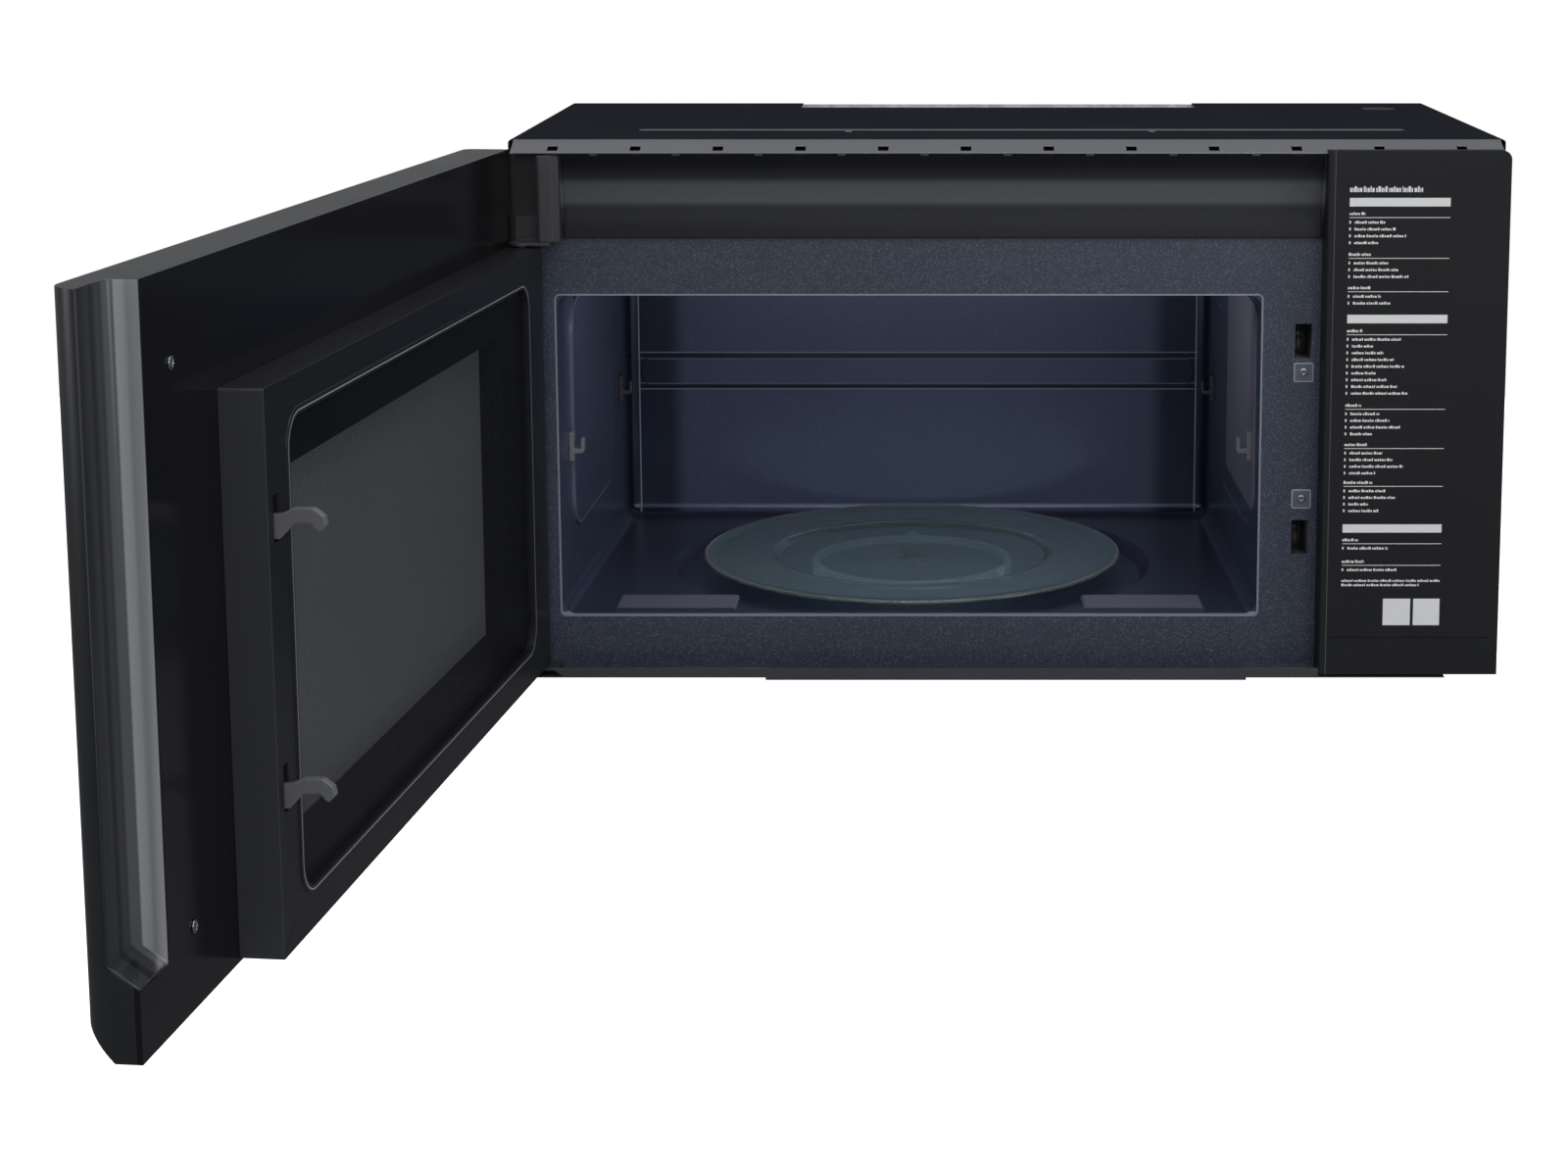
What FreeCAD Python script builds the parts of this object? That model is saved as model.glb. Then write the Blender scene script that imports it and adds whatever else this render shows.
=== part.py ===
import FreeCAD
import Part
import math
import os

# Over the range microwave oven, modelled with its door open.
# Millimetres. The origin is the middle of the case's back face, on the wall. +X is to the right
# of someone who faces the oven, +Y goes into the wall and +Z is up. The door is modelled closed
# and then swung open about its hinge pins.

Vector = FreeCAD.Vector
X_AXIS = Vector(1, 0, 0)
Y_AXIS = Vector(0, 1, 0)
Z_AXIS = Vector(0, 0, 1)

# Case
CASE_W = 759.0
CASE_H = 417.0
CASE_D = 394.0
SHEET = 1.0
CORNER_R = 3.0
RECESS = 25.5
FRAME_H_GAP = 74.5
PAN_STEP = 1.8
PAN_CENTRE_W = 372.0

# Cooking cavity
LEFT_DUCT = 34.0
BAY_W = 183.5
UNDER_SPACE = 45.5
TOP_SPACE = 120.0
REAR_SPACE = 8.0
LINER_T = 0.8
CAVITY_R = 10.0
MOUTH_R = 3.0
TAPER_LEFT = 12.5
TAPER_RIGHT = 6.0
FLANGE_W = 10.0
WELL_R = 200.0
WELL_DEPTH = 10.0
WELL_SLOPE = 8.0
WELL_HALF_DEPTH = 170.0

# Turntable
TRAY_R = 175.0
TRAY_T = 4.0
TRAY_RIM_H = 8.5
TRAY_STEP_R = 113.0
RING_R = 88.0
ROLLER_R = 5.2
ROLLER_W = 7.0
ROLLER_COUNT = 3
AXLE_R = 1.5
DRIVE_SHAFT_R = 3.0
MOTOR_R = 24.0
MOTOR_H = 16.0

# Door
DOOR_T = 34.0
DOOR_GAP = 2.5
DOOR_BOTTOM_GAP = 9.0
DOOR_TOP_GAP = 7.0
DOOR_OPEN_ANGLE = 96.0
DOOR_WALL = 2.5
DOOR_EDGE_R = 7.0
DOOR_FREE_R = 20.0
DOOR_CHAMFER = 20.0
INNER_PANEL_T = 3.0
GLASS_T = 3.0
PLUG_DEPTH = 27.0
PLUG_GAP = 1.5
COVER_T = 2.0
HINGE_INSET = 10.5
HINGE_PIN_R = 3.9
HINGE_PIN_L = 18.0
BUSH_R = 9.0
BUSH_H = 20.0
POCKET_W = 39.5
POCKET_D = 18.0
POCKET_FLOOR = 39.5
POCKET_R = 10.0

# Latch
LATCH_T = 6.0
LATCH_TRAVEL = 6.0
HOOK_REACH = 28.0
HOOK_SLOT_W = 13.0
HOOK_SLOT_H = 21.0 + LATCH_TRAVEL
BUTTON_TRAVEL = 2.5

# Blower and cooling fan
WHEEL_R = 48.0
WHEEL_W = 68.0
CAGE_GAP = 7.5
BLADE_COUNT = 14
BLOWER_SHAFT_R = 4.0
FAN_R = 52.0
FAN_BLADES = 5
FAN_SHAFT_R = 2.5

# Clearances
RUN_CLEAR = 0.05
ROLL_CLEAR = 0.3
SLIDE_CLEAR = 0.3
SCREW_CLEAR = 0.2
SWING_CLEAR = 1.5

# Places that follow from the sizes above
LEFT = -CASE_W / 2
RIGHT = CASE_W / 2
BOTTOM = -CASE_H / 2
TOP = CASE_H / 2
FACE_Y = -CASE_D
FRAME_Y = FACE_Y + RECESS
PAN_TOP = BOTTOM + PAN_STEP + SHEET
FRAME_TOP = TOP - FRAME_H_GAP
LABEL_X = RIGHT - 138.0

CAVITY_X = (LEFT + LEFT_DUCT, RIGHT - BAY_W)
CAVITY_Z = (BOTTOM + UNDER_SPACE, TOP - TOP_SPACE)
CAVITY_Y = (FRAME_Y + SHEET, -REAR_SPACE)
TURN_X = (CAVITY_X[0] + CAVITY_X[1]) / 2
TURN_Y = (FRAME_Y - REAR_SPACE) / 2
WELL_Z = CAVITY_Z[0] - WELL_DEPTH
TRAY_Z = WELL_Z + 2 * ROLLER_R + 2 * ROLL_CLEAR
AXLE_Z = WELL_Z + ROLLER_R + ROLL_CLEAR

DOOR_Y = (FACE_Y - DOOR_GAP - DOOR_T, FACE_Y - DOOR_GAP)
DOOR_Z = (BOTTOM + DOOR_BOTTOM_GAP, TOP - DOOR_TOP_GAP)
HINGE_X = LEFT + HINGE_INSET
HINGE_Y = DOOR_Y[1] + HINGE_INSET
PLUG_X = (HINGE_X - 3.0, LABEL_X - PLUG_GAP)
PLUG_Y = (DOOR_Y[1], DOOR_Y[1] + PLUG_DEPTH)
PLUG_Z = (PAN_TOP + 8.2, FRAME_TOP - 6.0)
WINDOW_X = (PLUG_X[0] + 110.0, PLUG_X[1] - 46.0)
WINDOW_Z = (PLUG_Z[0] + 52.0, PLUG_Z[1] - 52.0)
RIDGE_X = (PLUG_X[0] + 47.0, PLUG_X[1] - 37.0)
RIDGE_Z = (PLUG_Z[0] + 26.0, PLUG_Z[1] - 24.0)
SHELF_Y = PLUG_Y[1] - 5.5

LATCH_X = LABEL_X - 15.0
HOOK_ZS = (CAVITY_Z[1] - 35.3, CAVITY_Z[0] + 61.9)
TAB_ZS = (CAVITY_Z[1] - 59.7, CAVITY_Z[0] + 92.2)
HOOK_ROOM_X = LATCH_X + 2.0
TAB_X = LATCH_X + 2.5
TAB_HALF = 7.5
TAB_T = 0.6
TAB_HEAD_R = 3.2
TAB_HEAD_H = 0.8

GUIDE_X = (LEFT + 40.5, LABEL_X)
GUIDE_Z = (FRAME_TOP - 1.0, TOP - 10.5)
GRILLE_X = (LEFT + 4.5, RIGHT - 4.5)
GRILLE_FRONT = FACE_Y + 5.0


def block(x, y, z):
    """Box between the low and high ends of three ranges."""
    return Part.makeBox(x[1] - x[0], y[1] - y[0], z[1] - z[0], Vector(x[0], y[0], z[0]))


def around(centre, half):
    """Range of a given half width about a centre."""
    return (centre - half, centre + half)


def grow(span, amount):
    """Range made longer by an amount at both ends."""
    return (span[0] - amount, span[1] + amount)


def rod(radius, base, axis, length):
    """Cylinder from a base point along an axis."""
    return Part.makeCylinder(radius, length, Vector(*base), axis)


def prism(radius, base, axis, length, sides=8):
    """Flat-sided rod from a base point along an axis, with its corners on the radius."""
    spoke = (X_AXIS if axis == Z_AXIS else Z_AXIS) * radius
    start = Vector(*base)
    corners = [start + FreeCAD.Rotation(axis, 360.0 * i / sides).multVec(spoke) for i in range(sides)]
    return Part.Face(Part.makePolygon(corners + corners[:1])).extrude(axis * length)


def profile(points, axis, span):
    """Flat outline swept straight along an axis. The points give the other two coordinates in order."""
    low, high = span
    corners = []
    for first, second in points:
        if axis == X_AXIS:
            corners.append(Vector(low, first, second))
        elif axis == Y_AXIS:
            corners.append(Vector(first, low, second))
        else:
            corners.append(Vector(first, second, low))
    wire = Part.makePolygon(corners + corners[:1])
    return Part.Face(wire).extrude(axis * (high - low))


def edges_along(shape, axis):
    """Straight edges that run parallel to an axis."""
    found = []
    for edge in shape.Edges:
        if isinstance(edge.Curve, (Part.Line, Part.LineSegment)):
            start, end = edge.Vertexes[0].Point, edge.Vertexes[-1].Point
            if (end - start).cross(axis).Length < 1e-6 * max(1.0, edge.Length):
                found.append(edge)
    return found


def rounded(x, y, z, axis, radius):
    """Box with its four edges along an axis rounded."""
    shape = block(x, y, z)
    return shape.makeFillet(radius, edges_along(shape, axis))


def near(shape, axis, where):
    """Edges along an axis that pass close to a point, given by its place across that axis."""
    chosen = []
    for edge in edges_along(shape, axis):
        point = edge.Vertexes[0].Point
        offset = Vector(*where) - point
        offset = offset - axis * offset.dot(axis)
        if offset.Length < 1e-3:
            chosen.append(edge)
    return chosen


def turned(shape, angle, centre, axis=Z_AXIS):
    """Copy turned by an angle about an axis through a centre."""
    copy = shape.copy()
    copy.rotate(Vector(*centre), axis, angle)
    return copy


def union(parts):
    """One solid from several that meet."""
    whole = parts[0]
    for part in parts[1:]:
        whole = whole.fuse(part)
    return whole.removeSplitter()


def screw(point, axis, head_r, head_h, shank_r, shank_l):
    """Pan head screw. The point is under the head and the axis leaves through the head."""
    head = prism(head_r, point, axis, head_h, 12)
    tip = Vector(*point) - axis * shank_l
    return head.fuse(prism(shank_r, tuple(tip), axis, shank_l)).removeSplitter()


# Case shell ---------------------------------------------------------------------------------

BEAD_Y = FRAME_Y + 86.5
BEAD_X = (LEFT + 91.5, RIGHT - 64.5)
BEAD_R = 5.0
BEAD_DEPTH = 1.5
DIMPLE_DEPTH = 2.2
DIMPLE_R = 7.0
TOP_SCREW_XS = (-123.0, 116.0)
TOP_SCREW_Y = FRAME_Y + 74.5
SCREW_HEAD_R = 4.0
SCREW_HEAD_H = 2.0
SCREW_R = 1.8
SCREW_L = 6.0
BOLT_X = 300.0
BOLT_Y = -230.0
BOLT_HOLE_R = 3.3
NUT_ACROSS = 12.0
NUT_H = 5.5
EXHAUST_HALF_W = 173.0
EXHAUST_D = 50.0
CORD_AT = (RIGHT - 49.5, -60.0)
CORD_CUP_R = 17.0
CORD_HOLE_R = 11.0
CORD_BORE_R = 4.5
CORD_SIDES = 24
CUP_SIDES = 8


def cup(centre, radius, hole_r, sides):
    """Pressed cup below the top sheet: what it adds and what it takes away."""
    x, y = centre
    floor = TOP - DIMPLE_DEPTH
    added = prism(radius + SHEET, (x, y, floor - SHEET), Z_AXIS, DIMPLE_DEPTH + SHEET, sides)
    taken = prism(radius, (x, y, floor), Z_AXIS, DIMPLE_DEPTH + SHEET, sides)
    hole = prism(hole_r, (x, y, floor - 2 * SHEET), Z_AXIS, DIMPLE_DEPTH + 3 * SHEET, sides)
    return added, taken.fuse(hole)


def outer_case():
    """Wrapped sheet: top and two sides, with a bead, pressed cups and the exhaust notch."""
    outside = block((LEFT, RIGHT), (FRAME_Y, 0), (PAN_TOP + 1.7, TOP))
    inside = block((LEFT + SHEET, RIGHT - SHEET), (FRAME_Y - 1, 1), (PAN_TOP, TOP - SHEET))
    corners = near(outside, Y_AXIS, (LEFT, 0, TOP)) + near(outside, Y_AXIS, (RIGHT, 0, TOP))
    outside = outside.makeFillet(CORNER_R, corners)
    corners = near(inside, Y_AXIS, (LEFT + SHEET, 0, TOP - SHEET))
    corners += near(inside, Y_AXIS, (RIGHT - SHEET, 0, TOP - SHEET))
    inside = inside.makeFillet(CORNER_R - SHEET, corners)
    wrap = outside.cut(inside)

    bead_out = block(grow(BEAD_X, SHEET), around(BEAD_Y, BEAD_R + SHEET),
                     (TOP - SHEET - BEAD_DEPTH, TOP - SHEET / 2))
    bead_in = block(BEAD_X, around(BEAD_Y, BEAD_R), (TOP - BEAD_DEPTH, TOP + SHEET))
    wrap = wrap.fuse(bead_out.makeChamfer(BEAD_R / 2, edges_along(bead_out, Z_AXIS)))
    wrap = wrap.cut(bead_in.makeChamfer(BEAD_R / 2, edges_along(bead_in, Z_AXIS)))
    cups = [((x, TOP_SCREW_Y), DIMPLE_R, SCREW_R + SCREW_CLEAR, CUP_SIDES) for x in TOP_SCREW_XS]
    cups.append((CORD_AT, CORD_CUP_R, CORD_HOLE_R, CORD_SIDES))
    for centre, radius, hole_r, sides in cups:
        added, taken = cup(centre, radius, hole_r, sides)
        wrap = wrap.fuse(added).cut(taken)
    for x in (-BOLT_X, BOLT_X):
        wrap = wrap.cut(rod(BOLT_HOLE_R, (x, BOLT_Y, TOP - 3 * SHEET), Z_AXIS, 6 * SHEET))
    notch = block(around(0, EXHAUST_HALF_W), (-EXHAUST_D, CORNER_R), (TOP - 3, TOP + 3))
    return wrap.cut(notch).removeSplitter()


WALL_SLOT_SPACING = 400.0
WALL_SLOT_Z = BOTTOM + 24.0
WALL_SLOT_L = 30.0
WALL_SLOT_R = 3.0
DUCT_HALF_W = 130.0
DUCT_Z = (TOP - 62.0, TOP - 22.0)
BACK_T = 1.2


def wall_slot(x):
    """Level slot through the back plate for a wall bracket's tab."""
    reach = WALL_SLOT_L / 2 - WALL_SLOT_R
    middle = block(around(x, reach), (-4, 4), around(WALL_SLOT_Z, WALL_SLOT_R))
    ends = [rod(WALL_SLOT_R, (x + side * reach, -4, WALL_SLOT_Z), Y_AXIS, 8) for side in (-1, 1)]
    return union([middle] + ends)


def back_plate():
    """Flat rear sheet with wall slots and the rear exhaust opening."""
    plate = block((LEFT + SHEET, RIGHT - SHEET), (-BACK_T, 0), (PAN_TOP, TOP - SHEET))
    top_corners = near(plate, Y_AXIS, (LEFT + SHEET, 0, TOP - SHEET))
    top_corners += near(plate, Y_AXIS, (RIGHT - SHEET, 0, TOP - SHEET))
    plate = plate.makeFillet(CORNER_R - SHEET, top_corners)
    for side in (-1, 1):
        plate = plate.cut(wall_slot(side * WALL_SLOT_SPACING / 2))
    return plate.cut(block(around(0, DUCT_HALF_W), (-4, 4), DUCT_Z))


FILTER_W = 127.0
FILTER_L = 194.0
FILTER_T = 9.5
FILTER_LIP = 5.0
FILTER_Y = TURN_Y - 5.0
FILTER_XS = (TURN_X - 180.0, TURN_X + 180.0)
LENS_W = 76.0
LENS_L = 46.0
LENS_T = 2.5
LENS_LIP = 3.0
LENS_Y = FRAME_Y + 36.0
LIP_X = (LEFT + 27.5, LABEL_X)
LIP_H = 7.7
LIP_CHAMFER = 11.5


def pan_seat(x):
    """Height of the pan's upper face under a piece centred at x."""
    return BOTTOM + SHEET if abs(x) < PAN_CENTRE_W / 2 else PAN_TOP


def base_pan():
    """Bottom sheet with a lowered middle, side flanges, a front lip and the hood openings."""
    plate = block((LEFT + SHEET, RIGHT - SHEET), (FACE_Y, 0), (PAN_TOP - SHEET, PAN_TOP))
    front_corner = block((LABEL_X + 98.0, RIGHT), (FACE_Y - 1, FRAME_Y), (BOTTOM, PAN_TOP + 1))
    plate = plate.cut(front_corner)
    middle = around(0, PAN_CENTRE_W / 2)
    tray = block(middle, (FACE_Y, -2 * CORNER_R), (BOTTOM, PAN_TOP))
    hollow = block(grow(middle, -SHEET), (FACE_Y - 1, -2 * CORNER_R - SHEET), (BOTTOM + SHEET, PAN_TOP + 1))
    pan = plate.fuse(tray).cut(hollow)
    flange_z = (PAN_TOP, PAN_TOP + 16.0)
    for x in ((LEFT + SHEET, LEFT + 2 * SHEET), (RIGHT - 2 * SHEET, RIGHT - SHEET)):
        pan = pan.fuse(block(x, (FRAME_Y + SHEET, -BACK_T), flange_z))
    lip = [(LIP_X[0], PAN_TOP + LIP_H - 1), (LIP_X[0] + LIP_CHAMFER, PAN_TOP - SHEET),
           (LIP_X[1], PAN_TOP - SHEET), (LIP_X[1], PAN_TOP + LIP_H - 1)]
    pan = pan.fuse(profile(lip, Y_AXIS, (FACE_Y, FACE_Y + SHEET)))
    front = block(grow(middle, -SHEET), (FACE_Y, FACE_Y + SHEET), (BOTTOM, PAN_TOP))
    pan = pan.fuse(front)
    for x in FILTER_XS:
        pan = pan.cut(block(around(x, FILTER_W / 2 - FILTER_LIP), around(FILTER_Y, FILTER_L / 2 - FILTER_LIP),
                            (BOTTOM - 3, PAN_TOP + 3)))
        pan = pan.cut(block(around(x, LENS_W / 2 - LENS_LIP), around(LENS_Y, LENS_L / 2 - LENS_LIP),
                            (BOTTOM - 3, PAN_TOP + 3)))
    return pan.removeSplitter()


def grease_filter(x):
    """Aluminium filter: a rolled frame round a mat of crossing ribs, lying on the pan's edges."""
    seat = pan_seat(x)
    z = (seat, seat + FILTER_T)
    rim = 8.0
    outline = (around(x, FILTER_W / 2), around(FILTER_Y, FILTER_L / 2))
    frame = block(outline[0], outline[1], z)
    frame = frame.makeChamfer(CORNER_R, edges_along(frame, Z_AXIS))
    frame = frame.cut(block(grow(outline[0], -rim), grow(outline[1], -rim), grow(z, 1)))
    rib_count = 9
    pitch = (FILTER_L - 2 * rim) / rib_count
    for i in range(1, rib_count):
        y = outline[1][0] + rim + i * pitch
        frame = frame.fuse(block(grow(outline[0], -rim), around(y, 1.5), around(seat + FILTER_T / 2, 2)))
    spine = block(around(x, 1.5), grow(outline[1], -rim), around(seat + FILTER_T / 2, 2))
    return frame.fuse(spine).removeSplitter()


def cooktop_lenses():
    """Two clear panes over the hood lights' openings."""
    panes = []
    for x in FILTER_XS:
        seat = pan_seat(x)
        panes.append(block(around(x, LENS_W / 2), around(LENS_Y, LENS_L / 2), (seat, seat + LENS_T)))
    return Part.makeCompound(panes)


def cooktop_lamps():
    """Two lamp holders that bridge their panes, each with a small round lamp."""
    holders = []
    for x in FILTER_XS:
        seat = pan_seat(x)
        height = 20.0
        arch = block(around(x, LENS_W / 2 + 5), around(LENS_Y, 9), (seat, seat + height))
        under = block(around(x, LENS_W / 2 + 1), around(LENS_Y, 10), (seat - 1, seat + height - 3))
        lamp = prism(8, (x, LENS_Y, seat + 6), Z_AXIS, height - 9)
        holders.append(arch.cut(under).fuse(lamp).removeSplitter())
    return Part.makeCompound(holders)


def mount_nuts():
    """Weld nuts under the top sheet for the cabinet bolts."""
    nuts = []
    for x in (-BOLT_X, BOLT_X):
        nut = prism(NUT_ACROSS / math.sqrt(3), (x, BOLT_Y, TOP - SHEET - NUT_H), Z_AXIS, NUT_H, 6)
        nuts.append(nut.cut(rod(BOLT_HOLE_R, (x, BOLT_Y, TOP - 3 * NUT_H), Z_AXIS, 4 * NUT_H)))
    return Part.makeCompound(nuts)


def case_screws():
    """Screws in the top sheet's cups and through the front frame's tabs into the latch board."""
    screws = []
    for x in TOP_SCREW_XS:
        screws.append(screw((x, TOP_SCREW_Y, TOP - DIMPLE_DEPTH), Z_AXIS, SCREW_HEAD_R, SCREW_HEAD_H,
                            SCREW_R, SCREW_L))
    for z in TAB_ZS:
        screws.append(screw((TAB_X, FRAME_Y - TAB_T, z), Y_AXIS * -1, TAB_HEAD_R, TAB_HEAD_H,
                            SCREW_R, SCREW_L))
    return Part.makeCompound(screws)


def cord_inlet():
    """Cord bushing in its cup in the top sheet: a flange over a grooved sleeve."""
    x, y = CORD_AT
    floor = TOP - DIMPLE_DEPTH
    flange = prism(CORD_HOLE_R + 4, (x, y, floor), Z_AXIS, SCREW_HEAD_H, CORD_SIDES)
    sleeve = prism(CORD_HOLE_R, (x, y, floor - 14), Z_AXIS, 14, CORD_SIDES)
    lock = prism(CORD_HOLE_R + 2, (x, y, floor - SHEET - 5), Z_AXIS, 5)
    bore = prism(CORD_BORE_R, (x, y, floor - 20), Z_AXIS, 40)
    return union([flange, sleeve, lock]).cut(bore)


# Cavity -------------------------------------------------------------------------------------

WELL_SIDES = 32


def cavity_form(grown):
    """Tapered space of the cavity with rounded edges, or its plain outside when grown by the sheet."""
    front = (CAVITY_X[0] - grown, CAVITY_Y[0]), (CAVITY_X[1] + grown, CAVITY_Y[0])
    back_y = CAVITY_Y[1] + grown
    back = (CAVITY_X[1] - TAPER_RIGHT + grown, back_y), (CAVITY_X[0] + TAPER_LEFT - grown, back_y)
    form = profile(front + back, Z_AXIS, grow(CAVITY_Z, grown))
    if grown > 0:
        return form
    soft = [e for e in form.Edges if max(v.Y for v in e.Vertexes) > CAVITY_Y[0] + 1]
    return form.makeFillet(CAVITY_R, soft)


def well_form(grown):
    """Round well in the floor, cut off straight at the front and the back: sloped inside, upright outside."""
    top = CAVITY_Z[0] + 1
    base = (TURN_X, TURN_Y, WELL_Z - grown)
    if grown > 0:
        corner_r = (WELL_R + grown) / math.cos(math.pi / WELL_SIDES)
        form = prism(corner_r, base, Z_AXIS, top - base[2], WELL_SIDES)
    else:
        rise = WELL_SLOPE / WELL_DEPTH * (top - WELL_Z)
        low_r = WELL_R - WELL_SLOPE
        form = Part.makeCone(low_r, low_r + rise, top - WELL_Z, Vector(*base), Z_AXIS)
    return form.common(block(around(TURN_X, WELL_R * 2), around(TURN_Y, WELL_HALF_DEPTH + grown),
                             (WELL_Z - 2 * WELL_DEPTH, top + WELL_DEPTH)))


BAND_X = (CAVITY_X[0] + TAPER_LEFT + 13.0, CAVITY_X[1] - TAPER_RIGHT - 13.0)
BAND_Z = (CAVITY_Z[1] - 134.5, CAVITY_Z[1] - 106.5)
EMBOSS = 2.5
SIDE_PANEL_Y = (FRAME_Y + 56.5, -REAR_SPACE - 114.0)
SIDE_PANEL_Z = (CAVITY_Z[0] + 55.0, CAVITY_Z[1] - 12.5)
PAD_L = 97.0
PAD_Y = (FRAME_Y + 12.5, FRAME_Y + 54.5)
PAD_INSET = 38.5
PAD_H = 2.0
PAD_SLOPE = 3.0
GUIDE_OPEN_Y = (FRAME_Y + 70.0, FRAME_Y + 160.0)
GUIDE_OPEN_Z = (CAVITY_Z[1] - 122.0, CAVITY_Z[1] - 50.0)
LAMP_Y = -96.0
LAMP_Z = CAVITY_Z[1] - 40.0
LAMP_HOLE_R = 2.5
LAMP_HOLE_PITCH = 9.0


def wall_skin(depth, y, z, side, radius):
    """Layer of a given depth that lies on the left (-1) or right (1) cavity wall."""
    form = cavity_form(0)
    moved = form.copy()
    moved.translate(Vector(-side * depth, 0, 0))
    half = (CAVITY_X[0] - 5, TURN_X) if side < 0 else (TURN_X, CAVITY_X[1] + 5)
    window = rounded(half, y, z, X_AXIS, radius)
    return form.common(window).cut(moved)


def cavity_liner():
    """Enamelled liner: tapered walls, the turntable well, pressed panels and a front flange."""
    shell = cavity_form(LINER_T).fuse(well_form(LINER_T))
    flange_y = (CAVITY_Y[0], CAVITY_Y[0] + LINER_T)
    shell = shell.fuse(block(grow(CAVITY_X, FLANGE_W), flange_y, grow(CAVITY_Z, FLANGE_W)))
    shell = shell.cut(cavity_form(0)).cut(well_form(0))

    band = rounded(BAND_X, (CAVITY_Y[1] - EMBOSS, CAVITY_Y[1] + LINER_T / 2), BAND_Z, Y_AXIS,
                   (BAND_Z[1] - BAND_Z[0]) / 2 - 0.5)
    behind = rounded(grow(BAND_X, -LINER_T), (CAVITY_Y[1] - EMBOSS + LINER_T, CAVITY_Y[1] + 2),
                     grow(BAND_Z, -LINER_T), Y_AXIS, (BAND_Z[1] - BAND_Z[0]) / 2 - 2)
    shell = shell.fuse(band).cut(behind)
    shell = shell.fuse(wall_skin(EMBOSS, SIDE_PANEL_Y, SIDE_PANEL_Z, -1, 28.0))
    for x0 in (CAVITY_X[0] + PAD_INSET, CAVITY_X[1] - PAD_INSET - PAD_L):
        low, high = CAVITY_Z[0] - LINER_T / 2, CAVITY_Z[0] + PAD_H
        rise = [(x0, low), (x0 + PAD_L, low), (x0 + PAD_L - PAD_SLOPE, high), (x0 + PAD_SLOPE, high)]
        shell = shell.fuse(profile(rise, Y_AXIS, PAD_Y))
    shell = shell.cut(block((CAVITY_X[1] - 12, CAVITY_X[1] + 12), GUIDE_OPEN_Y, GUIDE_OPEN_Z))
    for row in (-1, 0, 1):
        for column in (-1, 0, 1):
            centre = (CAVITY_X[1] - 12, LAMP_Y + column * LAMP_HOLE_PITCH, LAMP_Z + row * LAMP_HOLE_PITCH)
            shell = shell.cut(prism(LAMP_HOLE_R, centre, X_AXIS, 20, 6))
    shell = shell.cut(prism(DRIVE_SHAFT_R + 3, (TURN_X, TURN_Y, WELL_Z - 5), Z_AXIS, 10))
    return shell.removeSplitter()


def front_frame():
    """Enamelled front sheet with the cavity mouth, the latch slots and the screw tabs."""
    y = (FRAME_Y, FRAME_Y + SHEET)
    frame = block((LEFT + SHEET, RIGHT - SHEET), y, (PAN_TOP, FRAME_TOP))
    upper = (FRAME_TOP, GUIDE_Z[1])
    frame = frame.fuse(block((LEFT + SHEET, GUIDE_X[0] - 1), y, upper))
    frame = frame.fuse(block((LABEL_X, RIGHT - SHEET), y, upper))
    frame = frame.cut(rounded(CAVITY_X, grow(y, 3), CAVITY_Z, Y_AXIS, MOUTH_R))
    for z in HOOK_ZS:
        frame = frame.cut(block(around(HOOK_ROOM_X, HOOK_SLOT_W / 2), grow(y, 3), around(z, HOOK_SLOT_H / 2)))
    for z in TAB_ZS:
        tab = block(around(TAB_X, TAB_HALF), (FRAME_Y - TAB_T, FRAME_Y + SHEET / 2), around(z, TAB_HALF))
        frame = frame.fuse(tab)
        frame = frame.cut(prism(SCREW_R + SCREW_CLEAR, (TAB_X, FRAME_Y - 3, z), Y_AXIS, 9))
    return frame.removeSplitter()


def waveguide_cover():
    """Thin cover plate on the right wall with a slim upright slot."""
    low, high = CAVITY_Z[0] + 76.0, CAVITY_Z[1] - 11.5
    plate = wall_skin(1.2, (FRAME_Y + 24.5, FRAME_Y + 204.5), (low, high), 1, 12.0)
    slot_y = around(FRAME_Y + 61.5, 2.0)
    slot_z = (low + 0.555 * (high - low), low + 0.909 * (high - low))
    plate = plate.cut(block((CAVITY_X[1] - 12, CAVITY_X[1] + 5), slot_y, slot_z))
    peg_room = block((CAVITY_X[1] - 12, CAVITY_X[1] + 5), around(RACK_YS[0], 5), (RACK_Z, RACK_Z + RACK_H))
    return plate.cut(peg_room)


RACK_YS = (FRAME_Y + 56.5 - 8.0, -REAR_SPACE - 52.0)
RACK_Z = CAVITY_Z[1] - 138.5
RACK_REACH = 12.0
RACK_H = 23.0


def rack_supports():
    """Four moulded rack pegs: a wall pad, a short arm and an upturned end."""
    pegs = []
    for y in RACK_YS:
        for side in (-1, 1):
            taper = TAPER_LEFT if side < 0 else TAPER_RIGHT
            inward = taper * (y - CAVITY_Y[0]) / (CAVITY_Y[1] - CAVITY_Y[0])
            wall = (CAVITY_X[0] if side < 0 else CAVITY_X[1]) - side * inward
            outline = [(wall + side * 4, RACK_Z), (wall - side * 4, RACK_Z), (wall - side * 4, RACK_Z + 6),
                       (wall - side * (RACK_REACH - 2), RACK_Z + 6), (wall - side * RACK_REACH, RACK_Z + 8),
                       (wall - side * RACK_REACH, RACK_Z + 18), (wall - side * (RACK_REACH - 3), RACK_Z + 18),
                       (wall - side * (RACK_REACH - 3), RACK_Z + 10), (wall - side * 4, RACK_Z + 10),
                       (wall - side * 4, RACK_Z + RACK_H), (wall + side * 4, RACK_Z + RACK_H)]
            peg = profile(outline, Y_AXIS, around(y, 5))
            pegs.append(peg.common(cavity_form(0)))
    return Part.makeCompound(pegs)


# Front trim ---------------------------------------------------------------------------------

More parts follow.
